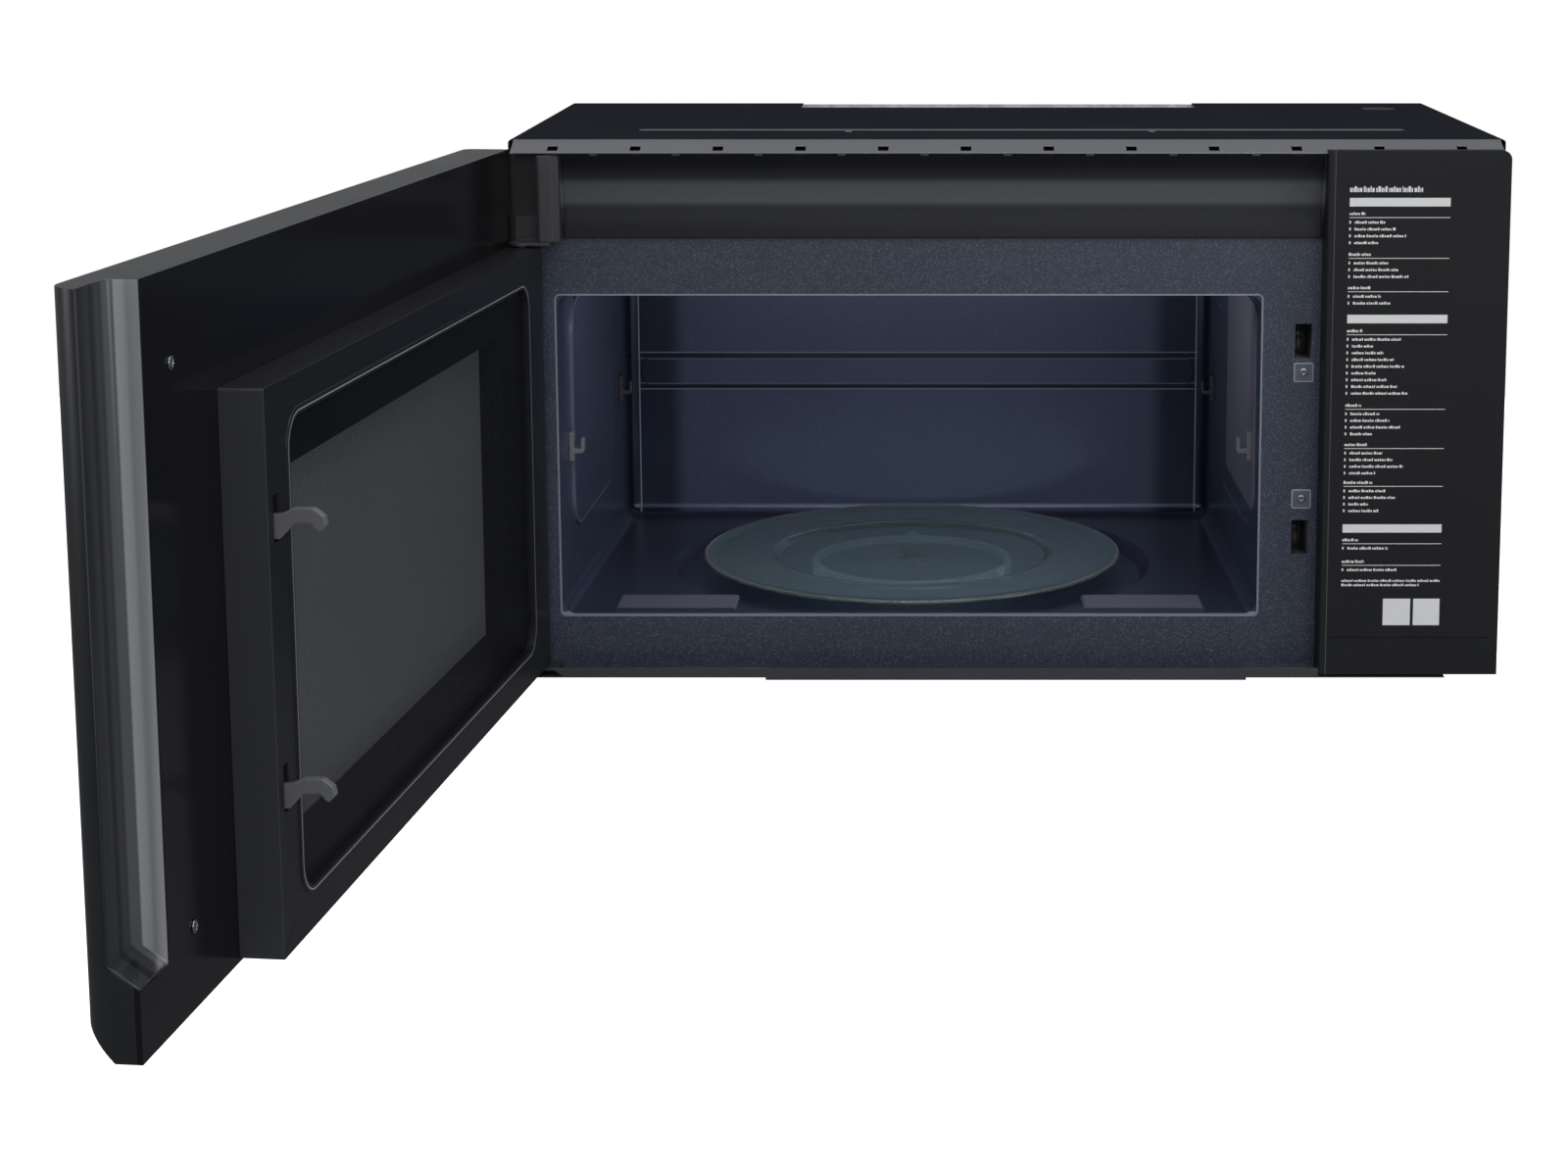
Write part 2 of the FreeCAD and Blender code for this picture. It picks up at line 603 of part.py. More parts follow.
GRILLE_T = 2.2
GRILLE_PITCH = 59.0
GRILLE_DROP = 8.0
GRILLE_LIP = 2.5
NOTCH_W = 8.0
NOTCH_Y = (FRAME_Y - 18.0, FRAME_Y - 9.0)
VENT_RIB = 6.0


def grille_room():
    """Space that the vent strip covers, down to its lip."""
    return profile([(FRAME_Y, TOP), (GRILLE_FRONT, TOP - GRILLE_DROP), (GRILLE_FRONT, GUIDE_Z[1]),
                    (FRAME_Y, GUIDE_Z[1])], X_AXIS, GRILLE_X)


def vent_grille():
    """Sloping vent strip with small notches, closed ends and a row of air slots in its front lip."""
    room = grille_room()
    inner = GRILLE_FRONT + GRILLE_LIP
    low = TOP - GRILLE_DROP - GRILLE_T + 1
    hollow = profile([(FRAME_Y + 1, TOP - GRILLE_T), (FRAME_Y, TOP - GRILLE_T), (inner, low),
                      (inner, GUIDE_Z[1] - 1), (FRAME_Y + 1, GUIDE_Z[1] - 1)],
                     X_AXIS, grow(GRILLE_X, -GRILLE_T))
    strip = room.cut(hollow)
    count = int((GRILLE_X[1] - GRILLE_X[0]) // GRILLE_PITCH)
    for i in range(count):
        x = GRILLE_X[0] + (i + 0.5) * (GRILLE_X[1] - GRILLE_X[0]) / count
        reach = (GRILLE_X[1] - GRILLE_X[0]) / count / 2 - VENT_RIB / 2
        strip = strip.cut(block(around(x, NOTCH_W / 2), NOTCH_Y, (GUIDE_Z[1], TOP + 1)))
        strip = strip.cut(block(around(x, reach), (GRILLE_FRONT - 1, inner + 1), (GUIDE_Z[1] - 1, low)))
    return strip.removeSplitter()


def cove(front, back, z, thick):
    """Hollow curve between a front top edge and a back bottom edge, of a given thickness."""
    top = Vector(0, front, z[1])
    low = Vector(0, back, z[0])
    middle = Vector(0, back + 3.0, z[0] + (z[1] - z[0]) * 0.42)
    shift = Vector(0, thick, 0)
    inner = Part.Arc(low + shift, middle + shift, top + shift).toShape()
    outer = Part.Arc(top, middle, low).toShape()
    wire = Part.Wire([outer, Part.makeLine(low, low + shift), inner, Part.makeLine(top + shift, top)])
    return Part.Face(wire)


def air_guide():
    """Glossy hollow-curved trim above the cavity with a wall at each end."""
    back = FRAME_Y - 2.0
    face = cove(GRILLE_FRONT, back, GUIDE_Z, 2.0)
    face.translate(Vector(GUIDE_X[0], 0, 0))
    body = face.extrude(X_AXIS * (GUIDE_X[1] - GUIDE_X[0]))
    top = Vector(0, GRILLE_FRONT, GUIDE_Z[1])
    low = Vector(0, back, GUIDE_Z[0])
    middle = Vector(0, back + 3.0, GUIDE_Z[0] + (GUIDE_Z[1] - GUIDE_Z[0]) * 0.42)
    wire = Part.Wire([Part.Arc(top, middle, low).toShape(), Part.makeLine(low, top)])
    for x in (GUIDE_X[0], GUIDE_X[1] - 2.0):
        cheek = Part.Face(wire)
        cheek.translate(Vector(x, 0, 0))
        body = body.fuse(cheek.extrude(X_AXIS * 2.0))
    foot = block(GUIDE_X, (back, FRAME_Y), (GUIDE_Z[0], FRAME_TOP))
    body = body.cut(block(grow(GUIDE_X, 2), (FRAME_Y, FRAME_Y + SHEET), (GUIDE_Z[0] - 1, FRAME_TOP)))
    return body.fuse(foot).removeSplitter()


BRACKET_T = 2.5
BRACKET_Z = PLUG_Z[1] + SWING_CLEAR
LOW_BRACKET_Z = PLUG_Z[0] - SWING_CLEAR
BRACKET_X = (HINGE_X - 6.0, HINGE_X + 23.0)
BRACKET_FLANGE_H = 18.0
PILLAR_X = (LEFT + 23.5, GUIDE_X[0])


def hinge_pillar():
    """Upright trim between the hinge and the air guide, with a step down its right side."""
    foot = BRACKET_Z + BRACKET_T
    pillar = block(PILLAR_X, (GRILLE_FRONT, FRAME_Y), (foot, GUIDE_Z[1]))
    front_edge = near(pillar, Z_AXIS, (PILLAR_X[0], GRILLE_FRONT, 0))
    pillar = pillar.makeFillet(3.0, front_edge)
    pillar = pillar.cut(block((PILLAR_X[1] - 5, PILLAR_X[1] + 1), (GRILLE_FRONT - 1, GRILLE_FRONT + 1.2),
                              (foot - 1, GUIDE_Z[1] + 1)))
    flange = block(BRACKET_X, (FRAME_Y - BRACKET_T, FRAME_Y + 1), (foot - 1, foot + BRACKET_FLANGE_H))
    return pillar.cut(flange)


def hinge_bracket(z, up):
    """Hinge plate with a flange on the front frame and a pin, above (1) or below (-1) the door plug."""
    plate_z = (z, z + BRACKET_T) if up > 0 else (z - BRACKET_T, z)
    arm = block(BRACKET_X, (HINGE_Y, FRAME_Y), plate_z)
    arm = arm.fuse(block((HINGE_X, BRACKET_X[1]), (HINGE_Y - 7, HINGE_Y), plate_z))
    nose = rod(BUSH_R, (HINGE_X, HINGE_Y, plate_z[0]), Z_AXIS, BRACKET_T)
    flange_z = (plate_z[1], plate_z[1] + BRACKET_FLANGE_H) if up > 0 else (PAN_TOP, plate_z[0])
    flange = block(BRACKET_X, (FRAME_Y - BRACKET_T, FRAME_Y), flange_z)
    pin_base = plate_z[0] - HINGE_PIN_L if up > 0 else plate_z[1]
    pin = rod(HINGE_PIN_R, (HINGE_X, HINGE_Y, pin_base), Z_AXIS, HINGE_PIN_L)
    return union([arm, nose, flange, pin])


LABEL_Z = (PAN_TOP + 1.7, TOP - 6.2)
LABEL_T = 2.0


def label_panel():
    """Satin moulding at the right of the door opening, hollow behind, with a groove across its foot."""
    outside = block((LABEL_X, RIGHT), (FACE_Y, FRAME_Y), LABEL_Z)
    outside = outside.makeFillet(7.0, near(outside, Y_AXIS, (RIGHT, 0, LABEL_Z[1])))
    outside = outside.makeFillet(2.0, near(outside, Z_AXIS, (LABEL_X, FACE_Y, 0)))
    inside = block((LABEL_X + 2 * LABEL_T, RIGHT - LABEL_T), (FACE_Y + LABEL_T, FRAME_Y + 1),
                   grow(LABEL_Z, -LABEL_T))
    panel = outside.cut(inside).cut(grille_room())
    corner_room = block((GRILLE_X[1], RIGHT + 1), (GRILLE_FRONT, FRAME_Y + 1), (GUIDE_Z[1], TOP))
    groove = block((LABEL_X + 6, RIGHT - 7), (FACE_Y - 1, FACE_Y + 0.6), around(LABEL_Z[0] + 29.5, 0.7))
    return panel.cut(corner_room).cut(groove).removeSplitter()


# Blower, vent and filter parts ---------------------------------------------------------------

SCROLL_R = WHEEL_R + CAGE_GAP
SCROLL_WALL = 1.5
BLOWER_Y = -104.0
BLOWER_Z = CAVITY_Z[1] + SCROLL_R + 2.5
BLOWER_HALF = 168.0
BLOWER_MOTOR_R = 38.0
MOTOR_HALF = 28.0
MOTOR_SPACE = 12.0
DRUM_SIDES = 16
BLOWER_TOP = TOP - 12.0
BLOWER_FLOOR = CAVITY_Z[1] + LINER_T


def scroll_form(grown, span):
    """Round fan casing that opens upwards and backwards into the exhaust."""
    drum = prism(SCROLL_R + grown, (span[0], BLOWER_Y, BLOWER_Z), X_AXIS, span[1] - span[0], DRUM_SIDES)
    throat = block(span, (BLOWER_Y, -EXHAUST_D / 2 + grown), (BLOWER_Z, BLOWER_TOP))
    return drum.fuse(throat)


def blower_housing():
    """Double casing round the two blower wheels, with an inlet ring at each end."""
    casings = []
    for side in (-1, 1):
        ends = sorted((side * (MOTOR_HALF + MOTOR_SPACE), side * BLOWER_HALF))
        outside = scroll_form(SCROLL_WALL, ends)
        inside = scroll_form(0, grow(ends, -SCROLL_WALL))
        throat = block(grow(ends, -SCROLL_WALL), (BLOWER_Y + 8, -EXHAUST_D / 2), around(BLOWER_TOP, 5))
        inlet = prism(WHEEL_R - 8, (ends[0] - 5, BLOWER_Y, BLOWER_Z), X_AXIS, ends[1] - ends[0] + 10,
                      DRUM_SIDES)
        casings.append(outside.cut(inside).cut(throat).cut(inlet))
    shelf_z = (BLOWER_FLOOR, BLOWER_Z - SCROLL_R - SCROLL_WALL + 3)
    shelf = block(around(0, BLOWER_HALF), around(BLOWER_Y, 22), shelf_z)
    shelf = shelf.cut(scroll_form(0, around(0, BLOWER_HALF)))
    cradle = block(around(0, MOTOR_HALF + MOTOR_SPACE), around(BLOWER_Y, 22),
                   (BLOWER_FLOOR, BLOWER_Z - BLOWER_MOTOR_R))
    return union([shelf, cradle] + casings)


def blower_motor():
    """Round blower motor on its cradle, with a bore for the shaft."""
    body = prism(BLOWER_MOTOR_R, (-MOTOR_HALF, BLOWER_Y, BLOWER_Z), X_AXIS, 2 * MOTOR_HALF, 12)
    foot = block(around(0, MOTOR_HALF - 8), around(BLOWER_Y, 20), (BLOWER_Z - BLOWER_MOTOR_R, BLOWER_Z - 25))
    bore = rod(BLOWER_SHAFT_R + RUN_CLEAR, (-MOTOR_HALF - 5, BLOWER_Y, BLOWER_Z), X_AXIS, 2 * MOTOR_HALF + 10)
    return body.fuse(foot).cut(bore).removeSplitter()


def blower_shaft():
    """Shaft that carries both blower wheels."""
    reach = BLOWER_HALF - 18
    return rod(BLOWER_SHAFT_R, (-reach, BLOWER_Y, BLOWER_Z), X_AXIS, 2 * reach)


def blower_wheel(side):
    """Squirrel cage wheel: a hub disc, curved-pitch blades and an end ring."""
    inner = MOTOR_HALF + 20
    x0, x1 = sorted((side * inner, side * (inner + WHEEL_W + 24)))
    disc = prism(WHEEL_R, ((x0 if side > 0 else x1 - 3), BLOWER_Y, BLOWER_Z), X_AXIS, 3, DRUM_SIDES)
    hub = prism(10, ((x0 if side > 0 else x1 - 18), BLOWER_Y, BLOWER_Z), X_AXIS, 18)
    ring_x = x1 - 4 if side > 0 else x0
    ring = prism(WHEEL_R, (ring_x, BLOWER_Y, BLOWER_Z), X_AXIS, 4, DRUM_SIDES)
    ring = ring.cut(prism(WHEEL_R - 11, (ring_x - 1, BLOWER_Y, BLOWER_Z), X_AXIS, 6, DRUM_SIDES))
    parts = [disc, hub, ring]
    blade = block((x0 + 1, x1 - 1), around(BLOWER_Y, 0.9), (BLOWER_Z + WHEEL_R - 10, BLOWER_Z + WHEEL_R - 1))
    blade = turned(blade, 35, (0, BLOWER_Y, BLOWER_Z + WHEEL_R - 5), X_AXIS)
    for i in range(BLADE_COUNT):
        parts.append(turned(blade, 360.0 * i / BLADE_COUNT, (0, BLOWER_Y, BLOWER_Z), X_AXIS))
    wheel = parts[0].fuse(parts[1:])
    return wheel.cut(rod(BLOWER_SHAFT_R, (x0 - 5, BLOWER_Y, BLOWER_Z), X_AXIS, x1 - x0 + 10)).removeSplitter()


def exhaust_plate():
    """Plate below the top notch that closes the exhaust, with turned-up tabs and a rear flange."""
    z = (BLOWER_TOP, BLOWER_TOP + SHEET)
    y = (-EXHAUST_D - 6, -BACK_T)
    plate = block(around(0, EXHAUST_HALF_W + 12), y, z)
    hole = block(around(0, BLOWER_HALF - 8), (-EXHAUST_D + 4, -EXHAUST_D / 2 - 2), grow(z, 2))
    ribs = [block(around(x, 4), y, z) for x in (-60, 0, 60)]
    plate = plate.cut(hole)
    tabs = []
    for x in ((-98, -60), (-57, -33), (63, 100), (102, 155)):
        tabs.append(block(x, (-EXHAUST_D + 2, -EXHAUST_D + 3), (z[1] - 0.5, TOP - SHEET - 2)))
    legs = []
    for x in ((-EXHAUST_HALF_W - 12, -EXHAUST_HALF_W - 11), (EXHAUST_HALF_W + 11, EXHAUST_HALF_W + 12)):
        legs.append(block(x, y, (z[0], TOP - SHEET)))
    return union([plate] + ribs + tabs + legs)


def charcoal_filter():
    """Charcoal pad behind the vent strip, under the top sheet."""
    pad = block((LEFT + 130, -80), (FRAME_Y + 4, FRAME_Y + 64), (TOP - SHEET - 12, TOP - SHEET))
    for i in range(4):
        y = FRAME_Y + 12 + 13 * i
        pad = pad.cut(block((LEFT + 138, -88), (y, y + 7), (TOP - SHEET - 13, TOP - SHEET - 9)))
    return pad


# Component bay ------------------------------------------------------------------------------

GUIDE_BOX_X = CAVITY_X[1] + 30.0


def waveguide():
    """Sheet metal waveguide on the outside of the cavity's right wall."""
    y = grow(GUIDE_OPEN_Y, 8)
    z = grow(GUIDE_OPEN_Z, 8)
    box = block((CAVITY_X[1] - 20, GUIDE_BOX_X), y, z)
    hollow = block((CAVITY_X[1] - 30, GUIDE_BOX_X - 1.2), grow(y, -1.2), grow(z, -1.2))
    flange = block((CAVITY_X[1] - 20, CAVITY_X[1] + 3), grow(y, 8), grow(z, 8))
    guide = box.fuse(flange).cut(cavity_form(LINER_T)).cut(hollow)
    antenna = prism(10, (GUIDE_BOX_X - 5, sum(GUIDE_OPEN_Y) / 2, sum(GUIDE_OPEN_Z) / 2), X_AXIS, 10)
    return guide.cut(antenna)


def magnetron():
    """Magnetron: yoke, cooling fins round the anode, filter box and antenna."""
    y = sum(GUIDE_OPEN_Y) / 2
    z = sum(GUIDE_OPEN_Z) / 2
    x0 = GUIDE_BOX_X
    yoke = block((x0, x0 + 62), around(y, 46), around(z, 38))
    yoke = yoke.cut(block((x0 + 2, x0 + 60), around(y, 50), around(z, 36)))
    anode = prism(20, (x0, y, z), X_AXIS, 62, 12)
    fins = [block((x0 + 9 + 9 * i, x0 + 10.5 + 9 * i), around(y, 42), around(z, 36.5)) for i in range(6)]
    choke_box = block((x0 + 62, x0 + 92), around(y, 30), around(z, 30))
    antenna = prism(9, (x0 - 18, y, z), X_AXIS, 20)
    return union([yoke, anode, choke_box, antenna] + fins)


def hv_transformer():
    """High voltage transformer on the pan: laminated core with two windings."""
    x = around(RIGHT - 105.0, 50)
    y = around(FRAME_Y + 198.5, 42)
    z0 = PAN_TOP
    core = block(x, y, (z0, z0 + 84))
    for window in (around(x[0] + 26, 9), around(x[1] - 26, 9)):
        core = core.cut(block(window, grow(y, 1), (z0 + 18, z0 + 66)))
    coil_y = grow(y, 12)
    coil = block((x[0] + 17.5, x[1] - 17.5), coil_y, (z0 + 18.5, z0 + 65.5))
    coil = coil.makeChamfer(6, edges_along(coil, Z_AXIS))
    middle = block((x[0] + 35, x[1] - 35), y, (z0 + 17, z0 + 67))
    feet = block(grow(x, 8), grow(y, -6), (z0, z0 + 3))
    return union([core, coil, middle, feet])


def hv_capacitor():
    """Oval high voltage capacitor lying on the pan, with its two terminals."""
    x = around(RIGHT - 105.0, 26)
    z = (PAN_TOP, PAN_TOP + 32)
    y = (FRAME_Y + 38.5, FRAME_Y + 126.5)
    can = block(x, y, z)
    can = can.makeChamfer(9, edges_along(can, Y_AXIS))
    studs = [prism(4, (x[0] + 18 + 16 * i, y[1], PAN_TOP + 16), Y_AXIS, 9) for i in range(2)]
    return union([can] + studs)


FAN_X = RIGHT - 98.0
LAMP_HOLDER_H = 20.0
FAN_Z = LAMP_Z - LAMP_HOLDER_H - 1.5 - (FAN_R + 8)
FAN_Y = -60.0


def fan_shroud():
    """Square shroud with a round throat and four feet on the back plate."""
    half = FAN_R + 8
    shroud = block(around(FAN_X, half), (FAN_Y - 22, FAN_Y), around(FAN_Z, half))
    shroud = shroud.makeChamfer(4, edges_along(shroud, Y_AXIS))
    shroud = shroud.cut(prism(FAN_R + 2, (FAN_X, FAN_Y - 30, FAN_Z), Y_AXIS, 40, 24))
    feet = []
    for sx in (-1, 1):
        for sz in (-1, 1):
            feet.append(prism(4, (FAN_X + sx * (half - 7), FAN_Y - 5, FAN_Z + sz * (half - 7)), Y_AXIS,
                            -BACK_T - FAN_Y + 5))
    bridge = block(around(FAN_X, half - 3), (FAN_Y - 3, FAN_Y), around(FAN_Z, 9))
    bridge = bridge.cut(prism(FAN_SHAFT_R + 2, (FAN_X, FAN_Y - 9, FAN_Z), Y_AXIS, 20))
    return union([shroud, bridge] + feet)


def fan_motor():
    """Small fan motor behind the shroud's bridge, with a bore for its shaft."""
    body = block(around(FAN_X, 22), (FAN_Y, FAN_Y + 26), around(FAN_Z, 22))
    return body.cut(rod(FAN_SHAFT_R + RUN_CLEAR, (FAN_X, FAN_Y - 3, FAN_Z), Y_AXIS, 22))


def cooling_fan():
    """Axial fan: hub, pitched blades and the shaft that runs into the motor."""
    hub = prism(14, (FAN_X, FAN_Y - 19, FAN_Z), Y_AXIS, 15, 10)
    shaft = rod(FAN_SHAFT_R, (FAN_X, FAN_Y - 6, FAN_Z), Y_AXIS, 23)
    blade = block(around(FAN_X, 13), around(FAN_Y - 11.5, 0.8), (FAN_Z + 12, FAN_Z + FAN_R - 2))
    blade = turned(blade, 24, (FAN_X, FAN_Y - 11.5, FAN_Z), Z_AXIS)
    blades = [turned(blade, 360.0 * i / FAN_BLADES, (FAN_X, FAN_Y, FAN_Z), Y_AXIS) for i in range(FAN_BLADES)]
    return union([hub, shaft] + blades)


def power_board():
    """Main circuit board on four posts from the case's side, with its tallest components."""
    x = RIGHT - SHEET - 12.0
    y = (FRAME_Y + 50, FRAME_Y + 178.5)
    z = (CAVITY_Z[1] - 20, TOP - 20)
    board = block((x - 1.6, x), y, z)
    posts = []
    for py in (y[0] + 8, y[1] - 8):
        for pz in (z[0] + 8, z[1] - 8):
            posts.append(prism(3, (x - 0.5, py, pz), X_AXIS, 12.5, 6))
    relays = [block((x - 17, x - 1), around(y[0] + 22 + 24 * i, 9), around(z[0] + 24, 6)) for i in range(5)]
    coil = block((x - 31, x - 1), around(y[1] - 28, 16), around(z[1] - 28, 14))
    caps = [prism(6, (x - 22, y[0] + 24 + 20 * i, z[1] - 26), X_AXIS, 21) for i in range(3)]
    return union([board, coil] + posts + relays + caps)


def cavity_lamp():
    """Cavity lamp on the right wall's outside: an open-sided holder with a socket and a round-ended bulb."""
    end = CAVITY_X[1] + 32
    holder = block((CAVITY_X[1] - 20, end), around(LAMP_Y, 22), around(LAMP_Z, LAMP_HOLDER_H))
    hollow = block((CAVITY_X[1] - 30, end - 2), around(LAMP_Y, 20), around(LAMP_Z, LAMP_HOLDER_H - 2))
    socket = prism(11, (end - 10, LAMP_Y, LAMP_Z), X_AXIS, 10)
    bulb = prism(7, (end - 24, LAMP_Y, LAMP_Z), X_AXIS, 16)
    return union([holder.cut(cavity_form(LINER_T)).cut(hollow), socket, bulb])


LATCH_BOARD_Y = (FRAME_Y + SHEET, FRAME_Y + SHEET + 38.0)
BUTTON_R = 2.5
BUTTON_Y = FRAME_Y + 32.5


def latch_board():
    """Moulded latch receiver behind the frame: a channel for each hook, closed by a back wall."""
    x = (LATCH_X - 12, LATCH_X + 14)
    z = (HOOK_ZS[1] - 24, HOOK_ZS[0] + 24)
    body = block(x, LATCH_BOARD_Y, z)
    for hook_z in HOOK_ZS:
        room = block(around(HOOK_ROOM_X, HOOK_SLOT_W / 2), (LATCH_BOARD_Y[0] - 1, BUTTON_Y + 1),
                     around(hook_z, HOOK_SLOT_H / 2 + 1))
        body = body.cut(room)
        button_room = rod(BUTTON_R + RUN_CLEAR, (HOOK_ROOM_X, BUTTON_Y - 1, hook_z), Y_AXIS, 14)
        body = body.cut(button_room)
    middle = (HOOK_ZS[1] + 20, HOOK_ZS[0] - 20)
    body = body.cut(block((x[0] + 3, x[1] + 1), (LATCH_BOARD_Y[0] + 8, LATCH_BOARD_Y[1] + 1), middle))
    for z_tab in TAB_ZS:
        body = body.cut(prism(SCREW_R + SCREW_CLEAR, (TAB_X, FRAME_Y - 1, z_tab), Y_AXIS, SCREW_L + 3))
    return body.removeSplitter()


def interlock_switches():
    """Two door switches on the latch board's back wall, each with a bore for its button."""
    switches = []
    y0 = LATCH_BOARD_Y[1]
    for z in HOOK_ZS:
        body = block(around(HOOK_ROOM_X, 5), (y0, y0 + 16), around(z, 10))
        body = body.cut(rod(BUTTON_R + RUN_CLEAR, (HOOK_ROOM_X, y0 - 1, z), Y_AXIS, 7))
        pins = [block(around(HOOK_ROOM_X, 2), (y0 + 16, y0 + 22), around(z + 6 * i, 0.5)) for i in (-1, 0, 1)]
        switches.append(union([body] + pins))
    return Part.makeCompound(switches)


def interlock_button(z):
    """Spring button of a door switch. A latch hook pushes it back as the door closes."""
    y1 = LATCH_BOARD_Y[1] + 6 - BUTTON_TRAVEL - 0.5
    return rod(BUTTON_R, (HOOK_ROOM_X, BUTTON_Y, z), Y_AXIS, y1 - BUTTON_Y)


# Turntable ----------------------------------------------------------------------------------

def turntable_motor():
    """Flat synchronous motor under the well, with two fixing ears and a bore for the drive shaft."""
    top = WELL_Z - LINER_T
    can = prism(MOTOR_R, (TURN_X, TURN_Y, top - MOTOR_H), Z_AXIS, MOTOR_H, 16)
    ears = block(around(TURN_X, MOTOR_R + 11), around(TURN_Y, 7), (top - 1.5, top))
    terminals = block(around(TURN_X, 8), (TURN_Y + MOTOR_R - 4, TURN_Y + MOTOR_R + 8), (top - 14, top - 4))
    bore = rod(DRIVE_SHAFT_R + RUN_CLEAR, (TURN_X, TURN_Y, top - 13), Z_AXIS, 20)
    return union([can, ears, terminals]).cut(bore)


def drive_coupler():
    """Three-lobed coupler with the drive shaft that comes up through the well's floor."""
    low = WELL_Z + 1
    height = TRAY_Z - low
    hub = prism(7.5, (TURN_X, TURN_Y, low), Z_AXIS, height, 12)
    shaft_base = WELL_Z - LINER_T - 12
    shaft = rod(DRIVE_SHAFT_R, (TURN_X, TURN_Y, shaft_base), Z_AXIS, low + 1 - shaft_base)
    lobe = block(around(TURN_X + 9, 9), around(TURN_Y, 4), (low + 2, TRAY_Z))
    lobes = [turned(lobe, 120 * i, (TURN_X, TURN_Y, 0)) for i in range(3)]
    return union([hub, shaft] + lobes)


def glass_tray():
    """Turned glass tray: flat middle, a step up to a broad rim, a rounded lip and three drive lugs."""
    z = TRAY_Z
    step = 3.5
    outline = [(0, z), (TRAY_STEP_R, z), (TRAY_STEP_R + 6, z + step), (TRAY_R - 9, z + step),
               (TRAY_R, z + TRAY_RIM_H - 1.5), (TRAY_R - 1, z + TRAY_RIM_H), (TRAY_R - 11, z + step + TRAY_T),
               (TRAY_STEP_R + 5, z + step + TRAY_T), (TRAY_STEP_R - 1, z + TRAY_T), (0, z + TRAY_T)]
    corners = [Vector(TURN_X + r, TURN_Y, height) for r, height in outline]
    face = Part.Face(Part.makePolygon(corners + corners[:1]))
    plate = face.revolve(Vector(TURN_X, TURN_Y, 0), Z_AXIS, 360)
    lug = block((TURN_X + 12, TURN_X + 20), around(TURN_Y, 3.5), (z - 5, z + 1))
    lugs = [turned(lug, 60 + 120 * i, (TURN_X, TURN_Y, 0)) for i in range(3)]
    return union([plate] + lugs)


RING_HOOP = (RING_R - ROLLER_W / 2 - 5.5, RING_R - ROLLER_W / 2 - 0.5)


def roller_ring():
    """Hoop that carries the rollers, with a stub axle at each."""
    z = (AXLE_Z - 3, AXLE_Z + 3)
    hoop = prism(RING_HOOP[1], (TURN_X, TURN_Y, z[0]), Z_AXIS, z[1] - z[0], 36)
    hoop = hoop.cut(rod(RING_HOOP[0], (TURN_X, TURN_Y, z[0] - 1), Z_AXIS, 8))
    axle = rod(AXLE_R, (TURN_X + RING_HOOP[0] + 2, TURN_Y, AXLE_Z), X_AXIS, 3 + ROLLER_W + 2)
    stop = prism(AXLE_R + 1, (TURN_X + RING_HOOP[1] + 0.5 + ROLLER_W + 0.5, TURN_Y, AXLE_Z), X_AXIS, 1.2)
    parts = [hoop]
    for i in range(ROLLER_COUNT):
        for piece in (axle, stop):
            parts.append(turned(piece, 360.0 * i / ROLLER_COUNT + 90, (TURN_X, TURN_Y, 0)))
    return union(parts)


def roller(index):
    """Plastic roller on its stub axle."""
    x0 = TURN_X + RING_HOOP[1] + 0.5
    wheel = rod(ROLLER_R, (x0, TURN_Y, AXLE_Z), X_AXIS, ROLLER_W)
    wheel = wheel.cut(rod(AXLE_R + RUN_CLEAR, (x0 - 1, TURN_Y, AXLE_Z), X_AXIS, ROLLER_W + 2))
    return turned(wheel, 360.0 * index / ROLLER_COUNT + 90, (TURN_X, TURN_Y, 0))


# Door, modelled closed ----------------------------------------------------------------------

def pocket_form(grown):
    """Corner pocket down the door's free edge, open at the top, with a sloped floor."""
    x = (RIGHT - POCKET_W + grown, RIGHT + 5)
    y = (DOOR_Y[1] - POCKET_D + grown, DOOR_Y[1] + 5)
    floor_in = DOOR_Z[0] + POCKET_FLOOR + grown
    form = block(x, y, (floor_in - 30, DOOR_Z[1] + 5))
    if grown > 0:
        form = form.makeFillet(POCKET_R, near(form, Z_AXIS, (x[0], y[0], 0)))
    wedge = profile([(y[0] - 5, floor_in + 12.0 + 12.0 * 5 / POCKET_D), (DOOR_Y[1], floor_in),
                     (DOOR_Y[1] + 9, floor_in - 6), (DOOR_Y[1] + 9, floor_in - 60), (y[0] - 5, floor_in - 60)],
                    X_AXIS, grow(x, 5))
    return form.cut(wedge)


FRONT_GLASS_X = (LEFT + 12.0, LABEL_X - 6.0)
FRONT_GLASS_Z = grow(DOOR_Z, -12.0)
TOUCH_X = (LABEL_X - 3.0, RIGHT - 24.0)


